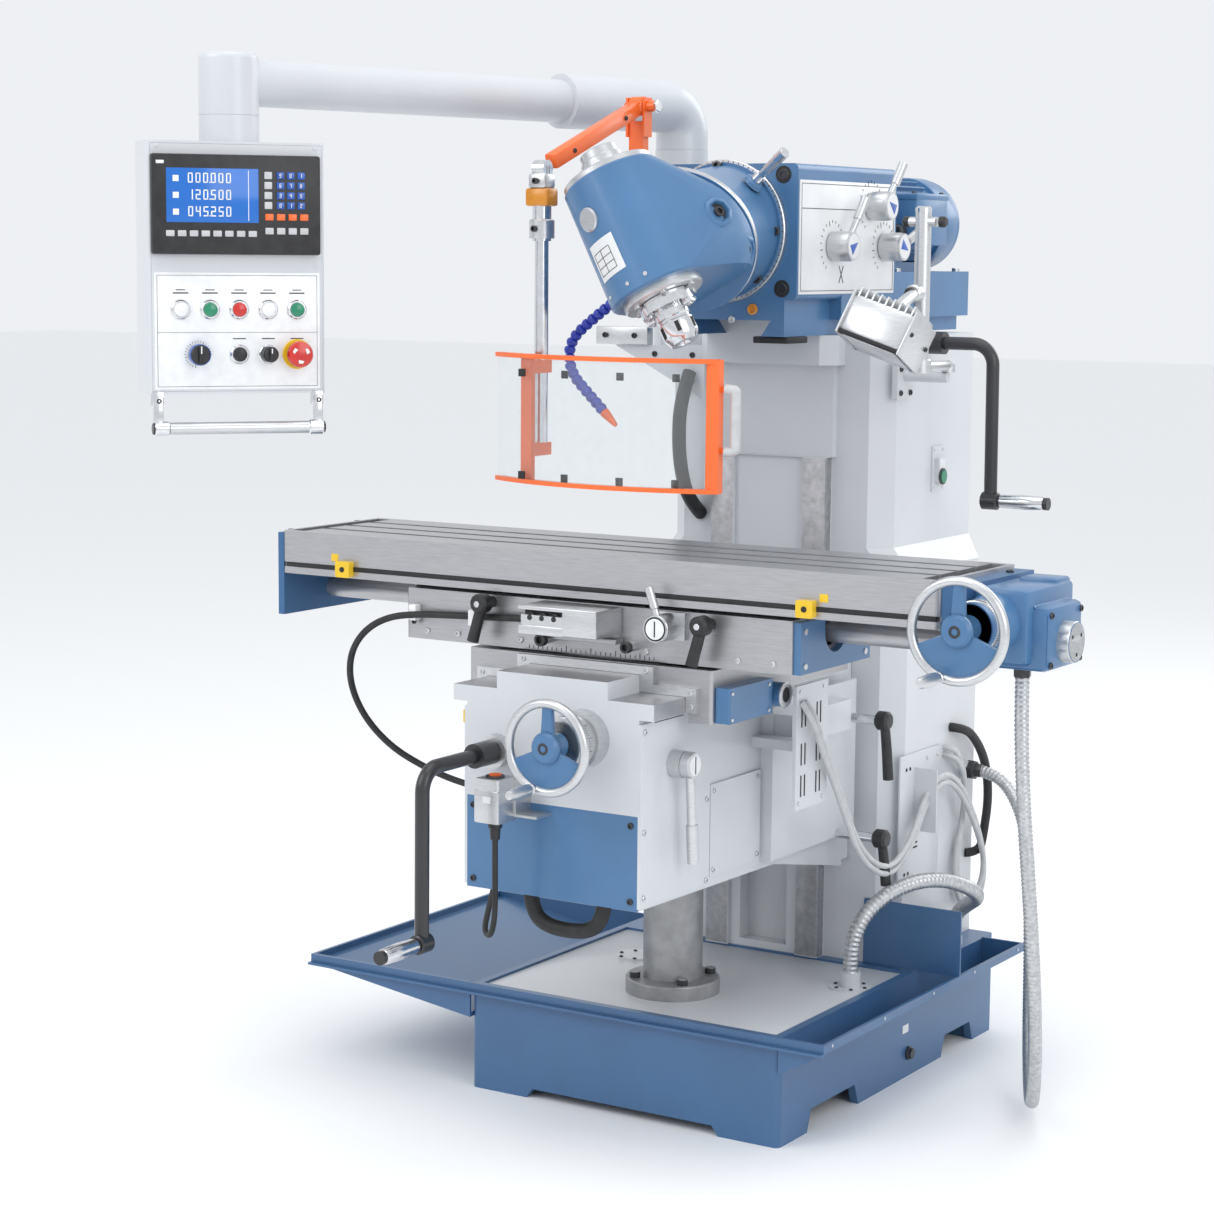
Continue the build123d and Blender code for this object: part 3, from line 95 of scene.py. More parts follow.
# ---------------------------------------------------------------- materials
def material(name, low, high, rough=(0.4, 0.5), metal=0.0, grain=60, stretch=(1, 1, 1), bump=0.15,
             bump_scale=220, coat=0.0, clear=0.0):
    """Colour and roughness that drift between two values over a noise, with a fine bump."""
    mat = bpy.data.materials.new(name)
    mat.use_nodes = True
    nodes, links = mat.node_tree.nodes, mat.node_tree.links
    shader = nodes["Principled BSDF"]
    place = nodes.new("ShaderNodeTexCoord")
    mapping = nodes.new("ShaderNodeMapping")
    mapping.inputs["Scale"].default_value = stretch
    links.new(place.outputs["Object"], mapping.inputs["Vector"])
    drift = nodes.new("ShaderNodeTexNoise")
    drift.inputs["Scale"].default_value = grain
    drift.inputs["Detail"].default_value = 6
    links.new(mapping.outputs[0], drift.inputs["Vector"])
    colours = nodes.new("ShaderNodeValToRGB")
    colours.color_ramp.elements[0].position = 0.32
    colours.color_ramp.elements[0].color = (*low, 1)
    colours.color_ramp.elements[1].position = 0.68
    colours.color_ramp.elements[1].color = (*high, 1)
    links.new(drift.outputs["Fac"], colours.inputs["Fac"])
    links.new(colours.outputs[0], shader.inputs["Base Color"])
    spread = nodes.new("ShaderNodeMapRange")
    spread.inputs["To Min"].default_value = rough[0]
    spread.inputs["To Max"].default_value = rough[1]
    links.new(drift.outputs["Fac"], spread.inputs["Value"])
    links.new(spread.outputs[0], shader.inputs["Roughness"])
    fine = nodes.new("ShaderNodeTexNoise")
    fine.inputs["Scale"].default_value = bump_scale
    fine.inputs["Detail"].default_value = 3
    links.new(mapping.outputs[0], fine.inputs["Vector"])
    relief = nodes.new("ShaderNodeBump")
    relief.inputs["Strength"].default_value = bump
    relief.inputs["Distance"].default_value = 0.0006
    links.new(fine.outputs["Fac"], relief.inputs["Height"])
    links.new(relief.outputs[0], shader.inputs["Normal"])
    shader.inputs["Metallic"].default_value = metal
    shader.inputs["Coat Weight"].default_value = coat
    shader.inputs["Coat Roughness"].default_value = 0.15
    shader.inputs["Transmission Weight"].default_value = clear
    return mat


def paint(name, colour, spread=0.07, **more):
    low = tuple(c * (1 - spread) for c in colour)
    high = tuple(min(c * (1 + spread), 1) for c in colour)
    values = dict(rough=(0.30, 0.42), grain=7, bump=0.12, bump_scale=420, coat=0.25)
    values.update(more)
    return material(name, low, high, **values)


BLUE = paint("blue_paint", (0.062, 0.168, 0.335))
DEEP_BLUE = paint("deep_blue_paint", (0.046, 0.125, 0.262))
GREY = paint("grey_paint", (0.60, 0.62, 0.645), 0.035, grain=4)
ORANGE = paint("orange_paint", (0.86, 0.145, 0.022), 0.05)
YELLOW = paint("yellow_paint", (0.80, 0.52, 0.015), 0.05)
BLACK_PAINT = paint("black_paint", (0.022, 0.022, 0.025), 0.2)
GROUND = material("ground_steel", (0.40, 0.40, 0.415), (0.50, 0.50, 0.515), (0.30, 0.42), 0.85, 30,
                  (1, 14, 40), 0.12, 60)
SCRAPED = material("scraped_steel", (0.36, 0.365, 0.375), (0.50, 0.50, 0.52), (0.28, 0.45), 0.8, 90,
                   (1, 1, 1), 0.15, 200)
IRON = material("bare_iron", (0.30, 0.305, 0.31), (0.40, 0.40, 0.41), (0.40, 0.5), 0.55, 40, (1, 1, 1),
                0.25, 260)
CHROME = material("chrome", (0.66, 0.67, 0.69), (0.76, 0.77, 0.79), (0.12, 0.2), 1.0, 80, (1, 1, 1), 0.03,
                  200)
ALUMINIUM = material("turned_aluminium", (0.56, 0.57, 0.58), (0.66, 0.67, 0.68), (0.27, 0.38), 0.9, 60,
                     (1, 1, 12), 0.08, 120)
HOSE = material("hose_steel", (0.42, 0.43, 0.44), (0.60, 0.61, 0.62), (0.3, 0.42), 0.75, 160)
BLACK = material("black_plastic", (0.012, 0.012, 0.013), (0.024, 0.024, 0.026), (0.38, 0.5), bump=0.25)
RUBBER = material("black_rubber", (0.010, 0.010, 0.011), (0.022, 0.022, 0.023), (0.5, 0.62), bump=0.3)
GREY_CABLE = material("grey_cable", (0.48, 0.49, 0.50), (0.56, 0.57, 0.58), (0.4, 0.5))
GREEN = material("green_plastic", (0.006, 0.20, 0.10), (0.01, 0.26, 0.13), (0.2, 0.3), coat=0.4)
RED = material("red_plastic", (0.52, 0.015, 0.01), (0.62, 0.025, 0.015), (0.2, 0.3), coat=0.4)
WHITE = material("white_plastic", (0.78, 0.79, 0.80), (0.86, 0.87, 0.88), (0.25, 0.35), coat=0.3)
BLUE_PLASTIC = material("blue_plastic", (0.01, 0.07, 0.34), (0.015, 0.10, 0.44), (0.25, 0.35), coat=0.3)
COOLANT_BLUE = material("coolant_blue", (0.012, 0.03, 0.34), (0.02, 0.045, 0.44), (0.3, 0.4), coat=0.2)
NOZZLE = material("nozzle_orange", (0.80, 0.12, 0.015), (0.88, 0.16, 0.03), (0.3, 0.4), coat=0.2)
SCREEN = material("screen_blue", (0.012, 0.13, 0.50), (0.016, 0.16, 0.58), (0.12, 0.16), grain=3, bump=0.0)
PLATE = material("plate_white", (0.70, 0.71, 0.72), (0.78, 0.79, 0.80), (0.3, 0.4), 0.1, 14, bump=0.05)
AMBER = material("amber_plastic", (0.55, 0.20, 0.01), (0.68, 0.27, 0.02), (0.2, 0.3), coat=0.3)
# painted shade: near-black finish laid into holes, slots, grooves, gaps and hollows where shade falls
RECESS_SHADE = material("painted_recess_shade", (0.010, 0.010, 0.012), (0.02, 0.02, 0.022), (0.6, 0.7))
INK = material("scale_ink", (0.02, 0.02, 0.025), (0.04, 0.04, 0.045), (0.4, 0.5))
PANE = material("clear_pane", (0.93, 0.96, 0.97), (0.97, 0.99, 1.0), (0.02, 0.05), clear=0.94, bump=0.0)
PANE.node_tree.nodes["Principled BSDF"].inputs["IOR"].default_value = 1.12
LENS = material("lamp_lens", (0.80, 0.83, 0.86), (0.90, 0.92, 0.95), (0.1, 0.2), clear=0.3)

NODE_FINISH = {
    BLUE: ("knee_front_cover", "saddle_side_cover", "swivel_end_cover", "ram", "motor",
           "swivel_housing", "head_casting"),
    DEEP_BLUE: ("base_casting", "chip_trays"),
    GREY: ("column", "knee", "control_arm_post", "control_arm", "pendant_box", "control_panel",
           "knee_side_plates", "column_fittings"),
    GROUND: ("saddle", "swivel_base", "table", "table_screw", "lift_screw"),
    IRON: ("lift_column",),
    ALUMINIUM: ("knee_controls", "way_wipers", "feed_controls", "head_cap_and_flange", "speed_knob_top",
                "speed_knob_left", "speed_knob_right", "feed_lever", "knee_feed_lever", "lamp_arm",
                "work_lamp"),
    CHROME: ("spindle", "collet_chuck", "guard_pole", "shift_lever"),
    BLACK_PAINT: ("lift_crank", "ram_crank"),
    BLACK: ("table_clamp_left", "table_clamp_right", "mode_selector"),
    ORANGE: ("guard_post", "guard_frame"),
    YELLOW: ("trip_dogs",),
    GREEN: ("start_button",),
    NOZZLE: ("jog_button",),
    BLUE_PLASTIC: ("speed_dial",),
    PANE: ("guard_panes",),
}
for finish, names in NODE_FINISH.items():
    for node_name in names:
        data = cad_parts[node_name].data
        data.materials.clear()
        data.materials.append(finish)


# ---------------------------------------------------------------- building pieces
def nurbs_points(route, steps=12):
    """Points along one smooth curve with the route's points as its control points."""
    data = bpy.data.curves.new("route", "CURVE")
    data.dimensions = "3D"
    data.resolution_u = steps
    spline = data.splines.new("NURBS")
    spline.points.add(len(route) - 1)
    for point, place in zip(spline.points, route):
        point.co = (*place, 1)
    spline.order_u = 3
    spline.use_endpoint_u = True
    curve = bpy.data.objects.new("route", data)
    mesh = bpy.data.meshes.new_from_object(curve)
    points = [v.co.copy() for v in mesh.vertices]
    bpy.data.meshes.remove(mesh)
    bpy.data.objects.remove(curve)
    bpy.data.curves.remove(data)
    return points


def resample(points, pitch):
    """The same line with its points one pitch apart."""
    result, left = [points[0]], pitch
    for a, b in zip(points, points[1:]):
        run = (b - a).length
        while run > 0 and left <= run:
            result.append(a.lerp(b, left / run))
            left += pitch
        left -= run
    return result


def rings(points, radii, sides):
    """Tube through the points with a radius for each, closed at both ends."""
    bm = bmesh.new()
    ahead = (points[1] - points[0]).normalized()
    side = ahead.orthogonal().normalized()
    loops = []
    for i, point in enumerate(points):
        here = (points[min(i + 1, len(points) - 1)] - points[max(i - 1, 0)]).normalized()
        side = (side - here * side.dot(here)).normalized()
        other = here.cross(side)
        loops.append([bm.verts.new(point + side * radii[i] * cos(2 * pi * k / sides)
                                   + other * radii[i] * sin(2 * pi * k / sides)) for k in range(sides)])
    for a, b in zip(loops, loops[1:]):
        for k in range(sides):
            bm.faces.new((a[k], a[(k + 1) % sides], b[(k + 1) % sides], b[k]))
    bm.faces.new(list(reversed(loops[0])))
    bm.faces.new(loops[-1])
    return bm


class Piece:
    """One visible piece, drawn in millimetres in a local frame, from parts with their own materials."""

    def __init__(self, name, body, slot, place=None):
        self.name, self.body, self.slot = name, body, slot
        self.place = place or Matrix.Identity(4)
        self.bm = bmesh.new()
        self.materials, self.index = [], 0

    def use(self, mat):
        if mat not in self.materials:
            self.materials.append(mat)
        self.index = self.materials.index(mat)
        return self

    def add(self, part):
        bmesh.ops.recalc_face_normals(part, faces=part.faces)
        mesh = bpy.data.meshes.new("part")
        part.to_mesh(mesh)
        part.free()
        start = len(self.bm.faces)
        self.bm.from_mesh(mesh)
        self.bm.faces.ensure_lookup_table()
        for face in self.bm.faces[start:]:
            face.material_index = self.index
        bpy.data.meshes.remove(mesh)
        return self

    def box(self, x0, x1, y0, y1, z0, z1, bevel=1.0, turn=None):
        part = bmesh.new()
        bmesh.ops.create_cube(part, size=1)
        size = Matrix.Diagonal((x1 - x0, y1 - y0, z1 - z0, 1))
        part.transform((turn or Matrix.Identity(4)) @ Matrix.Translation(
            ((x0 + x1) / 2, (y0 + y1) / 2, (z0 + z1) / 2)) @ size)
        if bevel:
            bmesh.ops.bevel(part, geom=part.edges[:], offset=bevel, segments=2, affect="EDGES", profile=0.5)
        return self.add(part)

    def slab(self, outline, z0, z1, bevel=1.0):
        """Flat plate with this outline in local X and Y."""
        part = bmesh.new()
        face = part.faces.new([part.verts.new((x, y, z0)) for x, y in outline])
        grown = bmesh.ops.extrude_face_region(part, geom=[face])
        moved = [v for v in grown["geom"] if isinstance(v, bmesh.types.BMVert)]
        bmesh.ops.translate(part, verts=moved, vec=(0, 0, z1 - z0))
        if bevel:
            bmesh.ops.bevel(part, geom=part.edges[:], offset=bevel, segments=2, affect="EDGES", profile=0.5)
        return self.add(part)

    def turned(self, start, direction, profile, sides=40):
        """Solid of revolution: profile is (distance along direction, radius)."""
        z = Vector(direction).normalized()
        x = z.orthogonal().normalized()
        y = z.cross(x)
        part = bmesh.new()
        closed = profile[0] == profile[-1]
        loops = []
        for along, radius in profile[:-1] if closed else profile:
            centre = Vector(start) + z * along
            if radius == 0:
                loops.append([part.verts.new(centre)])
            else:
                loops.append([part.verts.new(centre + (x * cos(2 * pi * k / sides)
                                                       + y * sin(2 * pi * k / sides)) * radius)
                              for k in range(sides)])
        for a, b in zip(loops, loops[1:] + (loops[:1] if closed else [])):
            for k in range(sides):
                n = (k + 1) % sides
                if len(a) == 1 and len(b) > 1:
                    part.faces.new((a[0], b[n], b[k]))
                elif len(b) == 1 and len(a) > 1:
                    part.faces.new((a[k], a[n], b[0]))
                elif len(a) > 1:
                    part.faces.new((a[k], a[n], b[n], b[k]))
        if not closed and len(loops[0]) > 1:
            part.faces.new(list(reversed(loops[0])))
        if not closed and len(loops[-1]) > 1:
            part.faces.new(loops[-1])
        return self.add(part)

    def disc(self, start, direction, radius, height, edge=1.0, sides=40):
        return self.turned(start, direction,
                           ((0, radius), (height - edge, radius), (height, radius - edge)),
                           sides)

    def bolt(self, at, direction, radius=6.5, height=6.0):
        """Socket-head cap screw: plain side, chamfer and a sunk round socket."""
        self.turned(at, direction, ((0, radius), (height - 0.8, radius), (height, radius - 0.8),
                                    (height, radius * 0.58), (height * 0.35, radius * 0.55),
                                    (height * 0.3, 0)), 18)
        return self

    def ring(self, at, direction, outer, inner, height, edge=1.0, sides=64):
        return self.turned(at, direction, ((0, inner), (0, outer), (height - edge, outer),
                                           (height, outer - edge), (height, inner), (0, inner)), sides)

    def bar(self, a, b, radius, edge=1.0, sides=24):
        length = (Vector(b) - Vector(a)).length
        return self.turned(a, Vector(b) - Vector(a),
                           ((0, radius - edge), (edge, radius), (length - edge, radius),
                            (length, radius - edge)), sides)

    def tube(self, route, radius, sides=16, end_radius=None):
        points = nurbs_points([Vector(p) for p in route])
        last = len(points) - 1
        end = radius if end_radius is None else end_radius
        radii = [radius + (end - radius) * i / last for i in range(len(points))]
        return self.add(rings(points, radii, sides))

    def ticks(self, at, direction, radius, count, long, short, arc=360, start=0, width=0.9, proud=0.4):
        """Engraved scale round an axis: every fifth tick is long; at is the centre of its face."""
        z = Vector(direction).normalized()
        x = z.orthogonal().normalized()
        y = z.cross(x)
        for k in range(count):
            a = radians(start + arc * k / count)
            out = x * cos(a) + y * sin(a)
            size = long if k % 5 == 0 else short
            centre = Vector(at) + out * (radius - size / 2)
            spin = Matrix((out, z.cross(out), z)).transposed().to_4x4()
            self.box(-size / 2, size / 2, -width / 2, width / 2, 0, proud, 0,
                     Matrix.Translation(centre) @ spin)
        return self

    def done(self, *replaced):
        mesh = bpy.data.meshes.new(self.name)
        self.bm.transform(Matrix.Diagonal((MM, MM, MM, 1)) @ self.place)
        self.bm.to_mesh(mesh)
        self.bm.free()
        for polygon in mesh.polygons:
            polygon.use_smooth = True
        mesh.set_sharp_from_angle(angle=radians(32))
        for mat in self.materials:
            mesh.materials.append(mat)
        thing = bpy.data.objects.new(self.name, mesh)
        bpy.context.scene.collection.objects.link(thing)
        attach(thing, self.body)
        if replaced:
            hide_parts(*replaced)
        return thing


def local_frame(origin, x_dir, z_dir):
    x, z = Vector(x_dir).normalized(), Vector(z_dir).normalized()
    y = z.cross(x)
    return Matrix(((x.x, y.x, z.x, origin[0]), (x.y, y.y, z.y, origin[1]), (x.z, y.z, z.z, origin[2]),
                   (0, 0, 0, 1)))


# ---------------------------------------------------------------- cords
CONDUIT_ROUTE = (
    (655, -350, 794), (655, -350, 716), (657, -345, 624), (660, -334, 530), (662, -318, 440),
    (660, -296, 350), (654, -268, 264), (642, -232, 184), (622, -184, 112), (594, -122, 58),
    (560, -48, 30), (522, 34, 30), (486, 112, 58), (456, 178, 112), (432, 232, 184), (412, 272, 262),
    (394, 306, 334), (370, 334, 402), (336, 348, 454), (298, 350, 478), (258, 350, 478),
)
TABLE_CABLE_ROUTE = (
    (-84, -512, 812), (-124, -512, 812), (-166, -507, 809), (-216, -504, 807), (-270, -505, 805),
    (-322, -511, 803), (-370, -520, 796), (-412, -524, 774), (-444, -520, 738), (-460, -508, 694),
    (-460, -490, 648), (-444, -470, 604), (-412, -450, 566), (-370, -432, 540), (-322, -422, 522),
    (-270, -416, 512), (-214, -416, 508), (-160, -416, 508),
)
DRAIN_HOSE_ROUTE = (
    (237, -59, 199), (237, -59, 242), (248, -44, 288), (270, -12, 322), (298, 34, 340), (326, 88, 340),
    (348, 140, 322), (350, 186, 300), (334, 226, 280), (306, 258, 262), (276, 280, 240), (262, 286, 214),
    (262, 286, 191),
)


def ribbed_hose(name, body, slot, mat, route, radius, pitch, node):
    """Stripwound metal hose: one turn of profile every pitch."""
    line = nurbs_points([Vector(p) for p in route], 16)
    points = resample(line, pitch / 4)
    points.append(line[-1])
    depth = (0, 0.06, 0.06, 0)
    radii = [radius * (1 - depth[i % 4] * 1.6) for i in range(len(points))]
    piece = Piece(name, body, slot)
    piece.use(mat).add(rings(points, radii, 18))
    hose = piece.done(node)


def plain_cable(name, body, mat, route, radius, node=None):
    data = bpy.data.curves.new(name, "CURVE")
    data.dimensions = "3D"
    data.resolution_u = 12
    data.bevel_depth = radius * MM
    data.bevel_resolution = 5
    data.use_fill_caps = True
    spline = data.splines.new("NURBS")
    spline.points.add(len(route) - 1)
    for point, place in zip(spline.points, route):
        point.co = (place[0] * MM, place[1] * MM, place[2] * MM, 1)
    spline.order_u = 3
    spline.use_endpoint_u = True
    data.materials.append(mat)
    cable = bpy.data.objects.new(name, data)
    bpy.context.scene.collection.objects.link(cable)
    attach(cable, body)
    if node:
        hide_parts(node)
    line = nurbs_points([Vector(p) for p in route])


ribbed_hose("feed_conduit_hose", "table", "steel_hose", HOSE, CONDUIT_ROUTE, 11, 7, "feed_conduit")
ribbed_hose("drain_hose_tube", "root", "steel_hose", HOSE, DRAIN_HOSE_ROUTE, 13, 8, "drain_hose")
plain_cable("table_cable_flex", "swivel_base", RUBBER, TABLE_CABLE_ROUTE, 5.5,
            "table_cable")
# ---------------------------------------------------------------- head and swivel
HEAD = local_frame((0, -383, 1415), (cos(radians(29)), 0, sin(radians(29))),
                   (-sin(radians(29)), 0, cos(radians(29))))
RING_CENTRE = (0, 119, -23)  # in the head's frame
RING_AXIS = (0, -cos(radians(30)), -sin(radians(30)))
HOUSING_LOW, HOUSING_HIGH = -108, 92


def housing_radius(z):
    return 82 - 5 * (z - HOUSING_LOW) / (HOUSING_HIGH - HOUSING_LOW)


def circle_points(centre, axis, radius, count=72):
    z = Vector(axis).normalized()
    x = z.orthogonal().normalized()
    y = z.cross(x)
    return [Vector(centre) + (x * cos(2 * pi * k / count) + y * sin(2 * pi * k / count)) * radius
            for k in range(count)]


def make_head_body():
    """Spindle housing and dome as one skin that runs tangent from one to the other."""
    piece = Piece("head_body", "head", "blue_paint", HEAD)
    piece.use(BLUE)
    skin = bmesh.new()
    points = circle_points((0, 0, HOUSING_LOW), (0, 0, 1), 79)
    points += circle_points((0, 0, HOUSING_LOW + 3), (0, 0, 1), 82)
    points += circle_points((0, 0, 88), (0, 0, 1), 77) + circle_points((0, 0, HOUSING_HIGH), (0, 0, 1), 73)
    ahead = Vector(RING_AXIS)
    for along, radius in ((1, 121), (5, 124), (30, 121), (58, 112), (84, 97), (104, 78)):
        points += circle_points(Vector(RING_CENTRE) + ahead * along, RING_AXIS, radius)
    for point in points:
        skin.verts.new(point)
    hull = bmesh.ops.convex_hull(skin, input=skin.verts[:])
    inner = [v for v in hull["geom_interior"] if isinstance(v, bmesh.types.BMVert)]
    bmesh.ops.delete(skin, geom=inner, context="VERTS")
    bmesh.ops.bisect_plane(skin, geom=skin.verts[:] + skin.edges[:] + skin.faces[:],
                           plane_co=(0, 0, HOUSING_LOW), plane_no=(0, 0, -1), clear_outer=True)
    bmesh.ops.holes_fill(skin, edges=[e for e in skin.edges if e.is_boundary])
    piece.add(skin)
    piece.use(PLATE)
    curved_plate(piece, -38, 4, -68, -8, 0.7)
    piece.use(INK)
    for k in range(4):
        curved_plate(piece, -34, -6, -60 + 12 * k, -59 + 12 * k, 1.0)
    for phi in (-34, -20, -6):
        curved_plate(piece, phi, phi + 0.7, -60, -24, 1.0)
    piece.use(ALUMINIUM)
    phi, z = radians(-17), 28
    out = Vector((sin(phi), -cos(phi), 0))
    piece.disc(out * 77 + Vector((0, 0, z)), out, 19, 5, 2)
    for angle, height in ((58, -30), (100, 30)):
        pocket(piece, angle, height)
    piece.use(ALUMINIUM)
    for phi in (-38, -3, 20):
        out = Vector((sin(radians(phi)), -cos(radians(phi)), 0))
        piece.disc(out * 80 + Vector((0, 0, -92)), out, 3.4, 3.4, 0.6, 12)
    piece.done("head_casting")


def curved_plate(piece, phi0, phi1, z0, z1, proud):
    """Thin plate bent round the spindle housing between two angles and two heights."""
    part = bmesh.new()
    rows = []
    for i in range(9):
        phi = radians(phi0 + (phi1 - phi0) * i / 8)
        rows.append([part.verts.new((sin(phi) * (housing_radius(z) + r),
                                     -cos(phi) * (housing_radius(z) + r), z))
                     for z, r in ((z0, -1), (z0, proud), (z1, proud), (z1, -1))])
    for a, b in zip(rows, rows[1:]):
        for k in range(4):
            part.faces.new((a[k], a[(k + 1) % 4], b[(k + 1) % 4], b[k]))
    part.faces.new(rows[0])
    part.faces.new(list(reversed(rows[-1])))
    piece.add(part)


def pocket(piece, angle, height):
    """Bolt pocket in the dome: a rimmed cup with painted shade in its hollow, and the clamp bolt in it."""
    a = radians(angle)
    axis = Vector(RING_AXIS)
    side = Vector((1, 0, 0))
    other = axis.cross(side)
    out = side * cos(a - pi / 2) + other * sin(a - pi / 2)
    place = Vector(RING_CENTRE) + axis * (38 + height * 0.4) + out * 112
    tilt = (out * 0.9 + axis * 0.42).normalized()
    piece.use(BLUE)
    piece.turned(place - tilt * 2, tilt, ((0, 26), (6, 25), (9, 21), (9, 18), (2, 15), (2, 0)), 8)
    # painted shade: a near-black disc in the bottom of the pocket
    piece.use(RECESS_SHADE)
    piece.disc(place + tilt * 0.4, tilt, 15, 1.5, 0.4, 8)
    piece.use(BLACK_PAINT)
    piece.bolt(place + tilt * 1.5, tilt, 8, 7)


def make_head_trim():
    cap = Piece("head_cap_turned", "head", "machined_aluminium", HEAD)
    cap.use(ALUMINIUM)
    cap.turned((0, 0, HOUSING_HIGH - 1), (0, 0, 1),
               ((0, 74), (7, 74), (9, 72), (9, 36), (12, 35), (30, 35), (32, 33),
                                                    (32, 31), (44, 31), (46, 29), (46, 0)), 56)
    for k in range(6):
        a = radians(60 * k + 20)
        cap.bolt((56 * cos(a), 56 * sin(a), HOUSING_HIGH + 8), (0, 0, 1), 5.5, 5)
    for k in range(4):
        a = radians(90 * k + 10)
        cap.disc((31 * cos(a), 31 * sin(a), 112), (cos(a), sin(a), 0), 4, 5, 0.8, 16)
    cap.ring((0, 0, -108), (0, 0, -1), 65, 34, 13, 2)
    for k in range(6):
        a = radians(60 * k)
        cap.bolt((52 * cos(a), 52 * sin(a), -121), (0, 0, -1), 5.5, 4)
    cap.done("head_cap_and_flange")
    nose = Piece("spindle_nose", "spindle", "bright_steel", HEAD)
    nose.use(CHROME)
    nose.turned((0, 0, -121), (0, 0, -1),
                ((0, 29), (3, 29), (3, 44.4), (17, 44.4), (19, 42.4), (19, 28), (24, 28)), 64)
    for sx in (-1, 1):
        nose.box(sx * 36 - 8, sx * 36 + 8, -7.9, 7.9, -147, -139, 1)
        nose.bolt((sx * 36, 0, -147), (0, 0, -1), 4, 3)
    for k in range(4):
        a = radians(45 + 90 * k)
        nose.bolt((33.3 * cos(a), 33.3 * sin(a), -140), (0, 0, -1), 4, 3)
    nose.done()
    chuck = Piece("chuck_nut", "spindle", "bright_steel", HEAD)
    chuck.use(CHROME)
    chuck.turned((0, 0, -141), (0, 0, -1),
                 ((0, 28), (14, 28), (16, 26.2), (20, 26.2), (22, 28.6), (44, 28.6), (50, 25),
                  (56, 22), (56, 12), (54, 11.5), (50, 8.2), (30, 8)), 56)
    for k in range(6):
        a = radians(60 * k)
        spin = Matrix.Rotation(a, 4, "Z")
        # painted shade: near-black strips in the chuck nut's slots
        chuck.use(RECESS_SHADE)
        chuck.box(27.4, 28.9, -3.4, 3.4, -183, -166, 0.4, spin)
    chuck.done("collet_chuck")
    lever = Piece("shift_lever_grip", "shift_lever", "bright_steel")
    lever.use(ALUMINIUM)
    lever.bar((112, -162, 1511), (153, -177.3, 1538.6), 8.2, 2)
    lever.done()
    rings_piece = Piece("swivel_scales", "swivel_housing", "machined_aluminium")
    rings_piece.use(ALUMINIUM)
    centre = HEAD @ Vector(RING_CENTRE)
    axis = (HEAD.to_3x3() @ Vector(RING_AXIS)).normalized()
    rings_piece.ring(centre - axis * 11, axis, 126.2, 120, 9, 1.5)
    rings_piece.ring((0, -98.6, 1415), (0, -1, 0), 116, 104, 8, 1.5)
    rings_piece.use(INK)
    for k in range(72):
        a = radians(5 * k)
        out = Vector((cos(a), 0, sin(a)))
        spin = Matrix((out, Vector((0, -1, 0)).cross(out), Vector((0, -1, 0)))).transposed().to_4x4()
        size = 7 if k % 3 == 0 else 4
        rings_piece.box(-size, 0, -0.5, 0.5, 0, 0.5, 0, Matrix.Translation(
            Vector((0, -106.6, 1415)) + out * 114) @ spin)
    rings_piece.use(BLACK_PAINT)
    for k in range(5):
        a = radians(-46 + 46 * k)
        out = Vector((cos(a), 0, sin(a)))
        rings_piece.bolt(Vector((0, -112, 1415)) + out * 104 + Vector((0, -4, 0)),
                         (out.x * 0.25, -1, out.z * 0.25), 8, 8)
    rings_piece.use(BLUE)
    rings_piece.turned((80, -150, 1489.5), (0.7326, 0, 0.6806), ((0, 18), (6, 16), (9, 12), (9, 0)), 24)
    rings_piece.done()


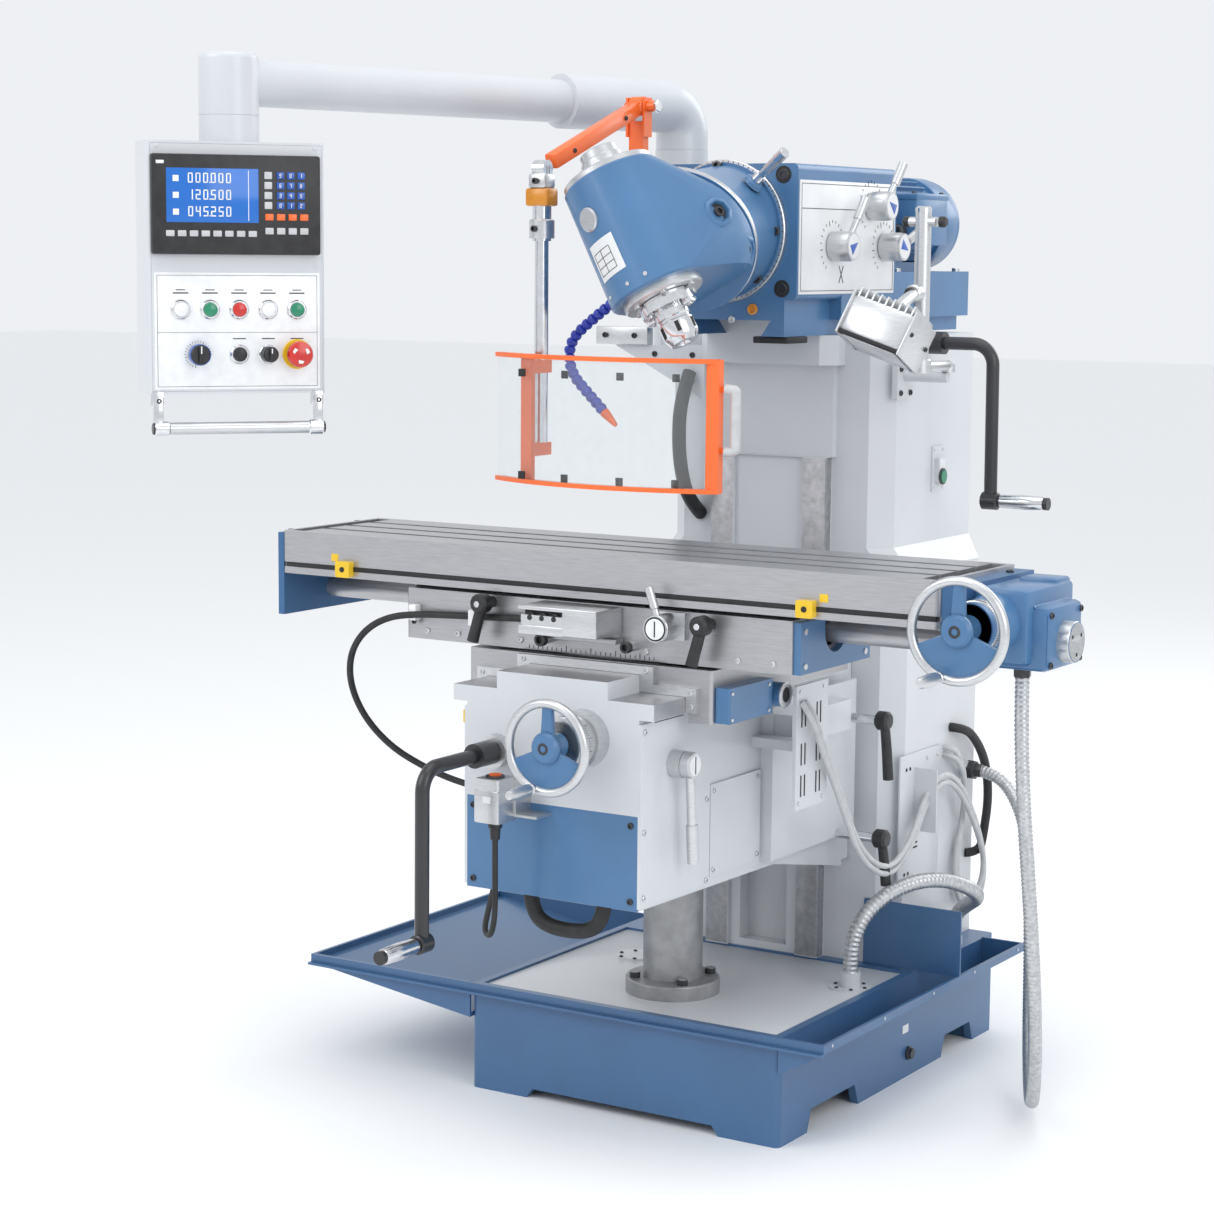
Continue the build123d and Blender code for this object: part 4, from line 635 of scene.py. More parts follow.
# ---------------------------------------------------------------- ram and motor
def make_ram_trim():
    trim = Piece("ram_plugs", "ram", "machined_aluminium")
    for sx in (-1, 1):
        for z in (1506, 1323):
            # painted shade: near-black ring in the gap round each plug
            trim.use(RECESS_SHADE).ring((sx * 108, -98, z), (0, -1, 0), 14, 9.5, 1.5, 0.4, 32)
            trim.use(BLACK_PAINT).bolt((sx * 108, -98, z), (0, -1, 0), 9.5, 2.6)
    trim.use(AMBER).turned((55, -98, 1289), (0, -1, 0), ((0, 9), (3, 9), (4, 6), (2, 5), (2, 0)), 24)
    trim.use(ALUMINIUM).bolt((16, -98, 1272), (0, -1, 0), 6, 3)
    # painted shade: a near-black slab under the front of the ram
    trim.use(RECESS_SHADE).box(52, 116, -92, -20, 1234, 1245, 2)
    trim.use(ALUMINIUM)
    for y in (0, 150):
        trim.turned((40, y, 1523), (0, 0, 1), ((0, 11), (3, 11), (3, 7), (7, 6.5), (8, 5), (8, 0)), 24)
    trim.turned((-60, 40, 1523), (0, 0, 1), ((0, 16), (4, 16), (6, 14), (6, 0)), 6)
    for sx in (-1, 1):
        for y in (300, 420, 540):
            trim.bolt((sx * 118, y, 1350), (0, 0, 1), 7, 6)
    trim.done()
    plate = Piece("speed_chart", "ram", "machined_aluminium",
                  local_frame((135, 0, 0), (0, 1, 0), (1, 0, 0)))
    plate.use(PLATE).box(-94, 250, 1314, 1498, -0.5, 1.8, 0.6)
    plate.use(INK)
    plate.box(-88, 244, 1452, 1453.2, 1.6, 2.2, 0)
    for low, high in ((-89, -88), (244, 245)):
        plate.box(low, high, 1319, 1493, 1.6, 2.2, 0)
    for z in (1319, 1492):
        plate.box(-88, 244, z, z + 1, 1.6, 2.2, 0)
    for y, z in ((158, 1460), (20, 1392), (208, 1392)):
        plate.ticks((y, z, 1.7), (0, 0, 1), 43, 14, 9, 5, 230, -20, 1.2, 0.5)
    plate.box(52, 54, 1330, 1362, 1.6, 2.2, 0,
              Matrix.Translation((53, 1346, 0)) @ Matrix.Rotation(0.5, 4, "Z")
              @ Matrix.Translation((-53, -1346, 0)))
    plate.box(52, 54, 1330, 1362, 1.6, 2.2, 0,
              Matrix.Translation((53, 1346, 0)) @ Matrix.Rotation(-0.5, 4, "Z")
              @ Matrix.Translation((-53, -1346, 0)))
    plate.done()
    for name, y, z, turn in (("speed_knob_top", 158, 1460, 150), ("speed_knob_left", 20, 1392, 30),
                             ("speed_knob_right", 208, 1392, -25)):
        face = local_frame((177, y, z), (0, 1, 0), (1, 0, 0)) @ Matrix.Rotation(radians(turn), 4, "Z")
        knob = Piece(name + "_face", name, "machined_aluminium", face)
        knob.use(ALUMINIUM).turned((0, 0, -37), (0, 0, 1),
                                   ((0, 24), (8, 24.6), (30, 24.6), (36, 22), (36, 0)), 48)
        knob.use(PLATE).disc((0, 0, -0.8), (0, 0, 1), 20, 1.6, 0.4)
        knob.use(BLUE_PLASTIC).slab(((-12, -9), (14, 0), (-12, 9)), 0.6, 1.6, 0.3)
        knob.done()


def make_motor_trim():
    trim = Piece("motor_cowl", "ram", "blue_paint")
    trim.use(BLUE)
    trim.turned((20, 518, 1434), (0, 1, 0), ((0, 83), (4, 84), (52, 84), (64, 80), (70, 70), (70, 0)), 56)
    # painted shade: near-black rings for the gaps in the cowl's end
    trim.use(RECESS_SHADE)
    for k in range(5):
        trim.ring((20, 588, 1434), (0, 1, 0), 16 + 12 * k, 11 + 12 * k, 1.2, 0.3, 40)
    trim.use(BLUE)
    trim.box(84, 140, 328, 454, 1396, 1478, 4)
    trim.box(86, 141, 326, 456, 1474, 1486, 3)
    trim.use(BLACK_PAINT)
    for y in (336, 446):
        trim.bolt((130, y, 1486), (0, 0, 1), 4, 3)
    trim.turned((112, 326, 1420), (0, -1, 0), ((0, 12), (14, 12), (16, 10), (20, 8), (20, 0)), 6)
    trim.done()


make_head_body()
make_head_trim()
make_ram_trim()
make_motor_trim()


# ---------------------------------------------------------------- handwheels and cranks
def make_handwheel(name, body, centre, radius, hub_length, node, slot_name):
    """Dished wheel: bright rim, painted narrow spoke above and wide web below, hub and handle."""
    wheel = Piece(name, body, slot_name, local_frame(centre, (1, 0, 0), (0, -1, 0)))
    section = [(7.5 * sin(pi * (k % 16) / 8), radius - 6.5 + 7 * cos(pi * (k % 16) / 8)) for k in range(17)]
    wheel.use(ALUMINIUM).turned((0, 0, 0), (0, 0, 1), section, 72)
    wheel.use(BLUE)
    reach = radius - 10
    wheel.slab(((-11, 12), (11, 12), (8, reach + 1), (-8, reach + 1)), -8, 2, 2)
    fan = [(reach * cos(radians(a)), reach * sin(radians(a))) for a in range(200, 341, 10)]
    wheel.slab([(-18, -4)] + fan + [(18, -4)], -8, 2, 2)
    wheel.turned((0, 0, -hub_length + 1), (0, 0, 1),
                 ((0, 19), (hub_length - 6, 20), (hub_length, 24), (hub_length + 4, 24),
                                                      (hub_length + 9, 20), (hub_length + 10, 9)), 40)
    wheel.use(BLACK_PAINT).bolt((0, 0, 9), (0, 0, 1), 9, 3)
    a = radians(250)
    grip = (reach + 4) * cos(a), (reach + 4) * sin(a)
    wheel.use(ALUMINIUM)
    wheel.turned((*grip, 2), (0, 0, 1),
                 ((0, 8), (6, 8), (8, 6), (12, 6), (13, 9), (30, 10), (58, 8.6), (64, 6.5),
                                         (66, 0)), 28)
    wheel.done(node)


def make_dial(name, body, centre, direction, radius, height, slot_name):
    """Graduated collar: plain grip, bright band and engraved scale on its edge."""
    dial = Piece(name, body, slot_name)
    axis = Vector(direction)
    dial.use(ALUMINIUM)
    dial.turned(centre, axis, ((0, radius), (height * 0.55, radius), (height * 0.58, radius - 2),
                               (height * 0.95, radius - 2), (height, radius - 4), (height, 0)), 60)
    x = axis.orthogonal().normalized()
    y = axis.cross(x)
    dial.use(INK)
    for k in range(60):
        a = 2 * pi * k / 60
        out = x * cos(a) + y * sin(a)
        size = 0.42 if k % 5 == 0 else 0.25
        spin = Matrix((axis, out.cross(axis) * -1, out)).transposed().to_4x4()
        dial.box(-height * size, 0, -0.35, 0.35, 0, 0.4, 0,
                 Matrix.Translation(Vector(centre) + out * radius + axis * height * 0.52) @ spin)
    dial.done()


def make_crank_grips():
    for name, body, end, out in (("lift_crank_grip", "lift_crank", (-98, -804.3, 358), (0, -1, 0)),
                                 ("ram_crank_grip", "ram_crank", (348.3, 205, 970), (1, 0, 0))):
        grip = Piece(name, body, "bright_steel")
        axis = Vector(out)
        grip.use(BLACK_PAINT).turned(Vector(end) - axis * 15, axis, ((0, 12), (2, 15), (28, 15), (30, 12)),
                                     32)
        grip.use(CHROME).turned(Vector(end) + axis * 16, axis,
                                ((0, 8), (4, 11.5), (40, 13.2), (78, 12), (84, 9), (85, 0)), 32)
        grip.done()


# ---------------------------------------------------------------- knee and saddle
def make_knee_trim():
    trim = Piece("knee_screws", "knee", "machined_aluminium")
    trim.use(BLACK_PAINT)
    for x in (-143, 143):
        for z in (414, 530):
            trim.bolt((x, -606, z), (0, -1, 0), 5, 3)
    trim.use(ALUMINIUM)
    for y, z in ((-596, 420), (-410, 412), (-596, 520), (-410, 540), (-596, 672), (-410, 672)):
        trim.bolt((160, y, z), (1, 0, 0), 4.5, 2.5)
        trim.bolt((-160, y, z), (-1, 0, 0), 4.5, 2.5)
    for y, z in ((-386, 424), (-246, 424), (-386, 550), (-246, 550)):
        trim.bolt((159, y, z), (1, 0, 0), 4, 2.5)
    trim.use(GROUND).box(-99.5, 99.5, -605.5, 19.5, 743, 743.15, 0)
    for sx in (-1, 1):
        low, high = sorted((sx * 101, sx * 180.5))
        trim.box(low, high, -605.5, 19.5, 716, 716.15, 0)
        low, high = sorted((sx * 181, sx * 181.2))
        trim.box(low, high, -605, 19, 692, 716, 0)
    # painted shade: a thin near-black strip in the seam on the knee's right side
    trim.use(RECESS_SHADE)
    trim.box(180.5, 181.4, -602, -520, 689.5, 691, 0)
    trim.use(YELLOW).box(-168, -160, -600, -582, 655, 676, 2)
    trim.done()
    box = Piece("jog_box_face", "knee", "machined_aluminium")
    box.use(ALUMINIUM).box(-82.5, -37.5, -692.5, -643.5, 524, 575, 2.5)
    box.use(PLATE).box(-66, -52, -693.2, -692, 556, 566, 0.3)
    box.use(BLACK).turned((-60, -668, 525), (0, 0, -1), ((0, 11), (10, 11), (12, 8.5), (28, 7.5), (30, 6)),
                          24)
    box.use(BLACK_PAINT).ring((-60, -668, 591), (0, 0, 1), 15, 10, 4, 1, 32)
    box.done()
    feed = Piece("knee_feed_dial", "knee_feed_lever", "machined_aluminium")
    feed.use(ALUMINIUM).turned((182.5, -513, 613), (1, 0, 0), ((0, 20.5), (14, 20.5), (16, 19), (16, 0)),
                               40)
    feed.use(PLATE).disc((198, -513, 613), (1, 0, 0), 16, 1.6, 0.4)
    feed.use(INK).box(199, 200.2, -514, -512, 600, 627, 0)
    feed.done()


def make_saddle_trim():
    trim = Piece("saddle_screws", "saddle", "machined_aluminium")
    trim.use(ALUMINIUM)
    for x, z in ((-112, 750), (112, 750), (-190, 722), (190, 722), (191, 702), (-191, 702)):
        trim.bolt((x, -515, z), (0, -1, 0), 4, 2)
    trim.use(RUBBER).box(-99, 99, -514.5, -505, 744, 747, 0.6)
    # painted shade: a thin near-black strip in the groove on the saddle front
    trim.use(RECESS_SHADE)
    trim.box(-130, 130, -506, -504.5, 758.4, 761.6, 0.3)
    trim.use(ALUMINIUM)
    for y in (-490, -376):
        for z in (684, 724):
            trim.disc((248, y, z), (1, 0, 0), 3, 2, 0.5, 12)
    trim.ring((256, -340, 704), (1, 0, 0), 20, 12, 3, 0.8)
    # painted shade: a near-black disc in the ring's bore
    trim.use(RECESS_SHADE).disc((255.6, -340, 704), (1, 0, 0), 11, 2.6, 0.5)
    trim.done()
    scale = Piece("swivel_scale", "swivel_base", "ground_steel")
    scale.use(INK)
    for k in range(-30, 31, 2):
        a = radians(k)
        size = 9 if k % 10 == 0 else 5
        if abs(k) < 27:
            scale.box(-0.4 + 260 * sin(a), 0.4 + 260 * sin(a), -496.6, -496, 764, 764 + size, 0)
    scale.use(ALUMINIUM)
    for x in (-310, -250, -130, 100, 260, 320):
        scale.bolt((x, -496, 776), (0, -1, 0), 5, 3)
    for x in (-330, -214):
        scale.use(WHITE).box(x - 7, x + 7, -512, -496, 792, 818, 2)
        scale.use(BLACK_PAINT).bolt((x, -504, 790), (0, -1, 0), 4, 4)
    scale.use(GROUND).box(-90, 60, -520, -496, 786, 794, 1.5)
    scale.use(BLACK_PAINT)
    scale.bolt((-72, -522, 784), (0, -1, 0), 10, 10)
    scale.bolt((83, -522, 785), (0, -1, 0), 9, 10)
    scale.done()
    hood = Piece("trip_switch_hood", "swivel_base", "machined_aluminium")
    hood.use(ALUMINIUM)
    hood.box(-6, 56, -570, -500, 799, 840, 2)
    hood.box(-86, 56, -571, -500, 836, 842, 1.5)
    hood.box(-86, -4, -570, -502, 798, 812, 1.5)
    # painted shade: a near-black block inside the hood's opening behind the buttons
    hood.use(RECESS_SHADE)
    hood.box(-80, -8, -560, -504, 812, 836, 1)
    hood.use(BLACK)
    for x in (-66, -44, -22):
        hood.turned((x, -560, 824), (0, -1, 0), ((0, 8), (4, 8), (6, 5), (9, 4), (9, 0)), 20)
    hood.use(CHROME)
    hood.box(-84, -6, -566, -562, 820, 823, 0.8)
    hood.done()
    knob = Piece("feed_lever_dial", "feed_lever", "machined_aluminium")
    knob.use(ALUMINIUM).turned((145, -531, 820), (0, -1, 0), ((0, 21), (12, 21), (15, 18.5), (15, 0)), 40)
    knob.use(WHITE).disc((145, -545.6, 820), (0, -1, 0), 16, 1.4, 0.4)
    knob.use(INK).box(144, 146, -547.6, -546.8, 808, 832, 0)
    knob.use(ALUMINIUM).bar((140, -538, 849), (128, -538, 882), 6.5, 1.5)
    knob.done()
    for side, x, z in (("left", -185, 832), ("right", 213, 828)):
        lever = Piece("clamp_grip_" + side, "table_clamp_" + side, "black_plastic")
        lever.use(BLACK)
        lever.turned((x, -512, z), (0, -1, 0), ((0, 12), (4, 15.5), (22, 15.5), (26, 12), (27, 6), (25, 0)),
                     32)
        lever.tube(((x, -526, z - 8), (x - 4, -530, z - 26), (x - 12, -532, z - 60)), 8, 16, 9.6)
        lever.use(CHROME).disc((x, -538, z), (0, -1, 0), 5, 2.4, 0.6, 20)
        lever.done()


# ---------------------------------------------------------------- table
def make_table_trim():
    trim = Piece("table_fittings", "table", "machined_aluminium")
    # painted shade: near-black strips in the front groove, the T-slot openings and at the table ends
    trim.use(RECESS_SHADE).box(-586, 590, -511.2, -508, 862.5, 869.5, 0.6)
    for i in (-1, 0, 1):
        trim.box(-559, 559, -378 + 63 * i - 6.6, -378 + 63 * i + 6.6, 896.2, 897, 0)
    for sx in (-1, 1):
        low, high = sorted((sx * 561, sx * 585))
        trim.box(low, high, -495, -261, 891.1, 892, 0)
    trim.use(BLACK_PAINT)
    for x in (-600, 609):
        for y in (-480, -300):
            trim.bolt((x, y, 916.6 if x < 0 else 914.6), (0, 0, 1), 6, 4)
    for y in (-470, -290):
        for z in (800, 895):
            trim.bolt((-607, y, z), (-1, 0, 0), 6, 3)
    trim.use(ALUMINIUM).turned((-629, -378, 815), (-1, 0, 0), ((0, 20), (3, 20), (4, 17), (4, 0)), 32)
    # painted shade: near-black discs in the holes
    trim.use(RECESS_SHADE)
    for x in (-462, 384):
        trim.disc((x, -523, 866), (0, -1, 0), 4.5, 1.2, 0.3, 16)
    trim.use(YELLOW)
    for x in (-486, 410):
        trim.box(x - 7, x + 7, -510.8, -509.5, 877, 889, 0.3)
    trim.done()
    box = Piece("gearbox_cover", "table", "blue_paint")
    box.use(BLUE)
    box.box(624, 708, -462, -292, 803, 910, 7)
    box.box(624, 733, -442, -316, 792.5, 886, 9)
    box.box(640, 700, -340, -286, 880, 915, 5)
    box.turned((655, -436, 862), (0, -1, 0), ((0, 48), (30, 42), (70, 37), (103, 35.5), (104, 34)), 48)
    box.use(ALUMINIUM)
    box.turned((730, -384, 832), (1, 0, 0), ((0, 30), (20, 30), (22, 28), (22, 0)), 56)
    for k in range(3):
        a = radians(120 * k + 30)
        # painted shade: near-black discs in the screw holes of the dial face
        box.use(RECESS_SHADE).disc((751.6, -384 + 18 * cos(a), 832 + 18 * sin(a)), (1, 0, 0), 3, 0.8, 0.2, 12)
    box.use(BLACK_PAINT)
    for y, z in ((-432, 802), (-432, 874), (-326, 802), (-326, 874)):
        box.bolt((732.5, y, z), (1, 0, 0), 5, 3)
    box.use(BLACK_PAINT)
    box.turned((655, -350, 794), (0, 0, -1), ((0, 17), (8, 17), (10, 14), (24, 13.5), (26, 11.5)), 6)
    box.done()
    cover = Piece("end_cover_screws", "swivel_base", "machined_aluminium")
    cover.use(ALUMINIUM)
    for y in (-476, -280):
        for z in (774, 826):
            cover.disc((363, y, z), (1, 0, 0), 5, 2, 0.6, 20)
    cover.done()


# ---------------------------------------------------------------- column and base
def make_column_trim():
    trim = Piece("column_trim", "root", "machined_aluminium")
    trim.use(SCRAPED)
    for sx in (-1, 1):
        low, high = sorted((sx * 67.2, sx * 110.2))
        trim.box(low, high, 60.8, 84, 178, 1039, 0.8)
    trim.use(ALUMINIUM)
    for z in (980, 1046):
        for y in (264, 298):
            trim.disc((215, y, z), (1, 0, 0), 2.5, 1.2, 0.3, 12)
    trim.use(PLATE).box(222.5, 223.4, 270, 292, 1014, 1030, 0.2)
    trim.use(BLACK_PAINT).ring((222.8, 281, 1000), (1, 0, 0), 14.5, 11.4, 3, 1, 32)
    trim.use(BLACK_PAINT)
    for y in (170, 206):
        for z in (420, 494):
            trim.bolt((244.5, y, z), (1, 0, 0), 4, 2.5)
    for y in (112, 148):
        for z in (1150, 1190):
            trim.bolt((222, y, z), (1, 0, 0), 5, 3)
    for z in (1075, 1215):
        for y in (155, 300):
            trim.bolt((-232, y, z), (-1, 0, 0), 6, 3)
    trim.turned((258, 350, 478), (1, 0, 0), ((-2, 18), (10, 18), (12, 14), (22, 13), (24, 11.5)), 6)
    for x in (-180, 0, 180):
        for z in (215, 815):
            trim.bolt((x, 402, z), (0, 1, 0), 5, 3)
    trim.use(GREY)
    for k in range(7):
        trim.box(-120, 120, 402, 405, 640 + 16 * k, 648 + 16 * k, 1)
    trim.use(GREY).box(-150, 150, 418, 422, 930, 1180, 2)
    trim.use(BLACK_PAINT)
    for x in (-138, 138):
        for z in (944, 1166):
            trim.bolt((x, 422, z), (0, 1, 0), 5, 3)
    trim.done()
    pan = Piece("channel_floor", "root", "bare_iron")
    pan.use(GREY).box(-275.5, 275.5, -384.5, 64.5, 171, 173, 0.5)
    pan.use(BLACK_PAINT)
    for x, y in ((-165, -87), (237, -59)):
        for k in range(6):
            a = radians(60 * k)
            pan.bolt((x + 27 * cos(a), y + 27 * sin(a), 175), (0, 0, 1), 3.4, 2)
    for k in range(4):
        a = radians(45 + 90 * k)
        pan.bolt((64 * cos(a), -237 + 64 * sin(a), 198), (0, 0, 1), 9, 9)
    pan.use(ALUMINIUM).ring((0, -237, 480), (0, 0, 1), 49, 20, 3, 1)
    pan.done()
    base = Piece("base_fittings", "root", "machined_aluminium")
    base.use(BLACK_PAINT).turned((290, 58, 40), (1, 0, 0), ((0, 13), (3, 13), (4, 11), (9, 9), (9, 0)), 6)
    base.use(PLATE).box(289.6, 290.8, 34, 56, 78, 92, 0.3)
    base.use(ALUMINIUM)
    for x in (-245, 245):
        for y in (-354, 354):
            base.ring((x, y, 22), (0, 0, 1), 16, 9.2, 3, 0.8, 32)
    for y in (-380, -200, -20, 140, 320):
        base.disc((371, y, 174), (1, 0, 0), 2.6, 1.2, 0.3, 12)
    base.done()


make_handwheel("cross_wheel", "cross_handwheel", (60, -709, 655), 73, 30.4, "cross_handwheel",
               "machined_aluminium")
make_handwheel("table_wheel", "table_handwheel", (655, -578, 862), 77, 37.4, "table_handwheel",
               "machined_aluminium")
make_dial("cross_dial", "knee", (60, -640, 655), (0, -1, 0), 39, 38, "machined_aluminium")
make_dial("table_dial", "table", (655, -506, 862), (0, -1, 0), 37.5, 33, "machined_aluminium")
make_crank_grips()
make_knee_trim()
make_saddle_trim()
make_table_trim()
make_column_trim()
# ---------------------------------------------------------------- pendant
PENDANT = local_frame((-470.44, -767.57, 0), (0.6115, 0.7912, 0), (0.7912, -0.6115, 0))
SEGMENTS = {"0": "abcdef", "1": "bc", "2": "abged", "3": "abgcd", "4": "fgbc", "5": "afgcd", "6": "afgecd",
            "7": "abc", "8": "abcdefg", "9": "abcdfg", "-": "g"}


def digits(piece, text, x, y, height, z):
    """Generic seven-segment figures."""
    wide, t = height * 0.5, height * 0.12
    bars = {"a": (0, height - t, wide, height), "d": (0, 0, wide, t),
            "g": (0, height / 2 - t / 2, wide, height / 2 + t / 2),
            "b": (wide - t, height / 2, wide, height), "c": (wide - t, 0, wide, height / 2),
            "f": (0, height / 2, t, height), "e": (0, 0, t, height / 2)}
    for sign in text:
        if sign == ".":
            piece.box(x - wide * 0.3, x - wide * 0.3 + t, y, y + t, z, z + 0.3, 0)
            continue
        for key in SEGMENTS[sign]:
            x0, y0, x1, y1 = bars[key]
            piece.box(x + x0, x + x1, y + y0, y + y1, z, z + 0.3, 0)
        x += wide * 1.55


def make_readout():
    box = Piece("readout_unit", "pendant", "black_plastic", PENDANT)
    box.use(BLACK).box(-133, 127, 1371, 1521, 0, 16, 4)
    box.use(SCREEN).box(-111, 30, 1419, 1500, 15.6, 16.6, 0.4)
    box.use(WHITE)
    for row, text in enumerate(("000.000", "120.500", "045.250")):
        digits(box, text, -78, 1478 - 25 * row, 15, 16.5)
        box.box(-101, -92, 1480 - 25 * row, 1489 - 25 * row, 16.5, 16.8, 0)
    box.box(14, 15, 1422, 1497, 16.5, 16.8, 0)
    box.use(GREY_CABLE)
    for k in range(8):
        box.box(-112 + 18 * k, -99 + 18 * k, 1398, 1407, 15.5, 17.5, 1)
    box.use(PLATE).box(-126, -114, 1506, 1511, 15.8, 16.4, 0.2)
    box.use(BLUE_PLASTIC)
    for i in range(3):
        for j in range(4):
            box.box(58 + 16 * i, 70 + 16 * i, 1440 + 15 * j, 1451 + 15 * j, 15.5, 17.8, 1.2)
    box.use(NOZZLE)
    for k in range(4):
        box.box(40 + 18 * k, 53 + 18 * k, 1423, 1433, 15.5, 17.8, 1.2)
    box.use(GREY_CABLE)
    for k in range(4):
        box.box(40 + 18 * k, 53 + 18 * k, 1402, 1412, 15.5, 17.8, 1.2)
        box.box(39, 51, 1440 + 15 * k, 1451 + 15 * k, 15.5, 17.8, 1.2)
    box.use(WHITE)
    for i in range(3):
        for j in range(4):
            digits(box, str((3 * j + i) % 10), 62 + 16 * i, 1442.5 + 15 * j, 6, 17.6)
    box.done()


def make_button_plate():
    plate = Piece("button_plate", "pendant", "grey_paint", PENDANT)
    plate.use(WHITE).box(-128, 128, 1167, 1344, -0.4, 0.7, 0.4)
    plate.use(INK)
    for a, b, c, d in ((-124, 124, 1339.4, 1340), (-124, 124, 1171, 1171.6), (-124, -123.4, 1171, 1340),
                       (123.4, 124, 1171, 1340), (-124, 124, 1253, 1253.5)):
        plate.box(a, b, c, d, 0.5, 0.9, 0)
    for x in (-88, -43, 2, 47, 92):
        plate.box(x - 12, x + 12, 1312, 1314, 0.5, 0.9, 0)
        plate.box(x - 7, x + 7, 1317, 1318.4, 0.5, 0.9, 0)
    for x in (2, 47, 92):
        plate.box(x - 10, x + 10, 1243, 1244.6, 0.5, 0.9, 0)
    plate.ticks((-62, 1220, 0.6), (0, 0, 1), 21, 21, 4.5, 2.5, 270, -45, 0.7, 0.3)
    plate.use(CHROME)
    for x in (-88, -43, 2, 47, 92):
        plate.ring((x, 1288, 0.5), (0, 0, 1), 14.75, 11.3, 4.6, 1.6, 40)
    plate.ring((2, 1220, 0.5), (0, 0, 1), 14.75, 11.3, 4.6, 1.6, 40)
    plate.ring((47, 1220, 0.5), (0, 0, 1), 14.75, 10.4, 3.2, 1.2, 40)
    plate.use(YELLOW).ring((92, 1220, 0.5), (0, 0, 1), 23, 11, 2.4, 0.8, 48)
    plate.use(GREY)
    for x in (-122, 122):
        for y in (1352, 1533, 1164):
            plate.disc((x, y, -0.5), (0, 0, 1), 3.2, 1.6, 0.5, 16)
    plate.done()
    caps = Piece("button_caps", "push_buttons", "green_plastic", PENDANT)
    for x, y, mat in ((-88, 1288, WHITE), (-43, 1288, GREEN), (2, 1288, RED), (47, 1288, WHITE),
                      (92, 1288, GREEN),
                      (2, 1220, BLACK)):
        caps.use(mat).turned((x, y, -14), (0, 0, 1), ((0, 11), (20, 11), (22.6, 10), (24, 7), (24.3, 0)),
                             32)
    caps.done("push_buttons")
    for name, body, x, size in (("speed_dial_pointer", "speed_dial", -62, 15),
                                ("mode_pointer", "mode_selector", 47, 11)):
        mark = Piece(name, body, "black_plastic", PENDANT)
        mark.use(BLACK).turned((x, 1220, 17), (0, 0, 1), ((0, size), (3, size), (5, size - 2), (5, 0)), 28)
        mark.box(x - 3.4, x + 3.4, 1220 - size + 1, 1220 + size - 1, 20, 27, 1.6)
        mark.use(WHITE).box(x - 0.8, x + 0.8, 1222, 1220 + size - 2, 26.6, 27.4, 0)
        mark.done()
    stop = Piece("emergency_stop_cap", "emergency_stop", "red_plastic", PENDANT)
    stop.use(RED).turned((92, 1220, -14), (0, 0, 1),
                         ((0, 10.5), (27, 10.5), (28, 18.5), (31, 20), (37, 20), (40.5, 18),
                                                     (42, 13), (42.6, 0)), 44)
    stop.use(WHITE)
    for k in range(3):
        a = radians(120 * k + 20)
        stop.slab([(92 + r * cos(a + t), 1220 + r * sin(a + t)) for r,
                   t in ((9, -0.3), (14, -0.1), (14, 0.35), (11, 0.6))],
                  27.6, 28.3, 0)
    stop.done("emergency_stop")
    bar = Piece("pendant_grip", "pendant", "machined_aluminium", PENDANT)
    bar.use(ALUMINIUM).bar((-118, 1108, 6), (118, 1108, 6), 9.5, 1)
    bar.use(CHROME)
    for sx in (-1, 1):
        bar.bar((sx * 108, 1108, 6), (sx * 131, 1108, 6), 11.5, 2)
        bar.box(sx * 124 - 7, sx * 124 + 7, 1104, 1158, -4, 9, 3)
        bar.box(sx * 124 - 9, sx * 124 + 9, 1142, 1164, -12, 3, 2)
    bar.use(BLACK_PAINT)
    for sx in (-1, 1):
        bar.bolt((sx * 124, 1150, 8), (0, 0, 1), 4, 3)
        bar.disc((sx * 131, 1108, 6), (sx, 0, 0), 9, 3, 1)
    bar.done("pendant_handle")


# ---------------------------------------------------------------- guard
def make_guard_trim():
    arm = Piece("guard_link", "guard_arm", "orange_paint")
    px, py, pz = -152, -122, 1618
    ex, ey, ez = -155, -405, 1512
    run = Vector((ex - px, ey - py, ez - pz)).normalized()
    link = local_frame((px, py, pz), (1, 0, 0), (0, -run.z, run.y))
    length = (Vector((ex, ey, ez)) - Vector((px, py, pz))).length
    arm.place = link
    low, high = (8, length - 22) if (link.to_3x3() @ Vector((0, 1, 0))).dot(run) > 0 else (22 - length, -8)
    arm.use(ORANGE).box(-11, 11, low, high, -12, 12, 3)
    arm.turned((-13, 0, 0), (1, 0, 0), ((0, 14), (2, 16), (24, 16), (26, 14)), 32)
    arm.use(BLACK_PAINT)
    for step in (0.2, 0.8):
        arm.bolt((11, low + (high - low) * step, 0), (1, 0, 0), 4, 2.5)
    arm.done("guard_arm")
    pin = Piece("guard_pin", "ram", "bright_steel")
    pin.use(CHROME).disc((-174, py, pz), (-1, 0, 0), 11, 5, 1.5, 6)
    pin.disc((-118, py, pz), (1, 0, 0), 11, 5, 1.5, 6)
    pin.done()
    trim = Piece("guard_clamps", "guard", "machined_aluminium")
    trim.use(AMBER).box(-176, -134, -422.5, -389.5, 1450, 1478, 4)
    trim.use(ALUMINIUM)
    trim.box(-171, -139, -421, -391, 1478, 1500, 3)
    trim.ring((ex, ey, 1400), (0, 0, 1), 20, 12, 30, 2, 32)
    trim.use(BLACK_PAINT)
    trim.bolt((ex, -423, 1489), (0, -1, 0), 5, 5)
    trim.bolt((ex, -425, 1415), (0, -1, 0), 5, 6)
    trim.use(GREY_CABLE)
    trim.tube(((205, -445, 1083), (222, -445, 1083), (222, -445, 1092), (222, -445, 1168),
               (222, -445, 1177),
               (205, -445, 1177)), 7.5, 16)
    # painted shade: near-black patches in the openings of the guard frame
    trim.use(RECESS_SHADE)
    for z in (1040, 1200):
        for x in (-150, -60, 40, 130):
            trim.box(x - 6, x + 6, -492 + abs(x + 10) * 0.17, -489 + abs(x + 10) * 0.17, z - 14, z - 2, 0.5)
    trim.done()


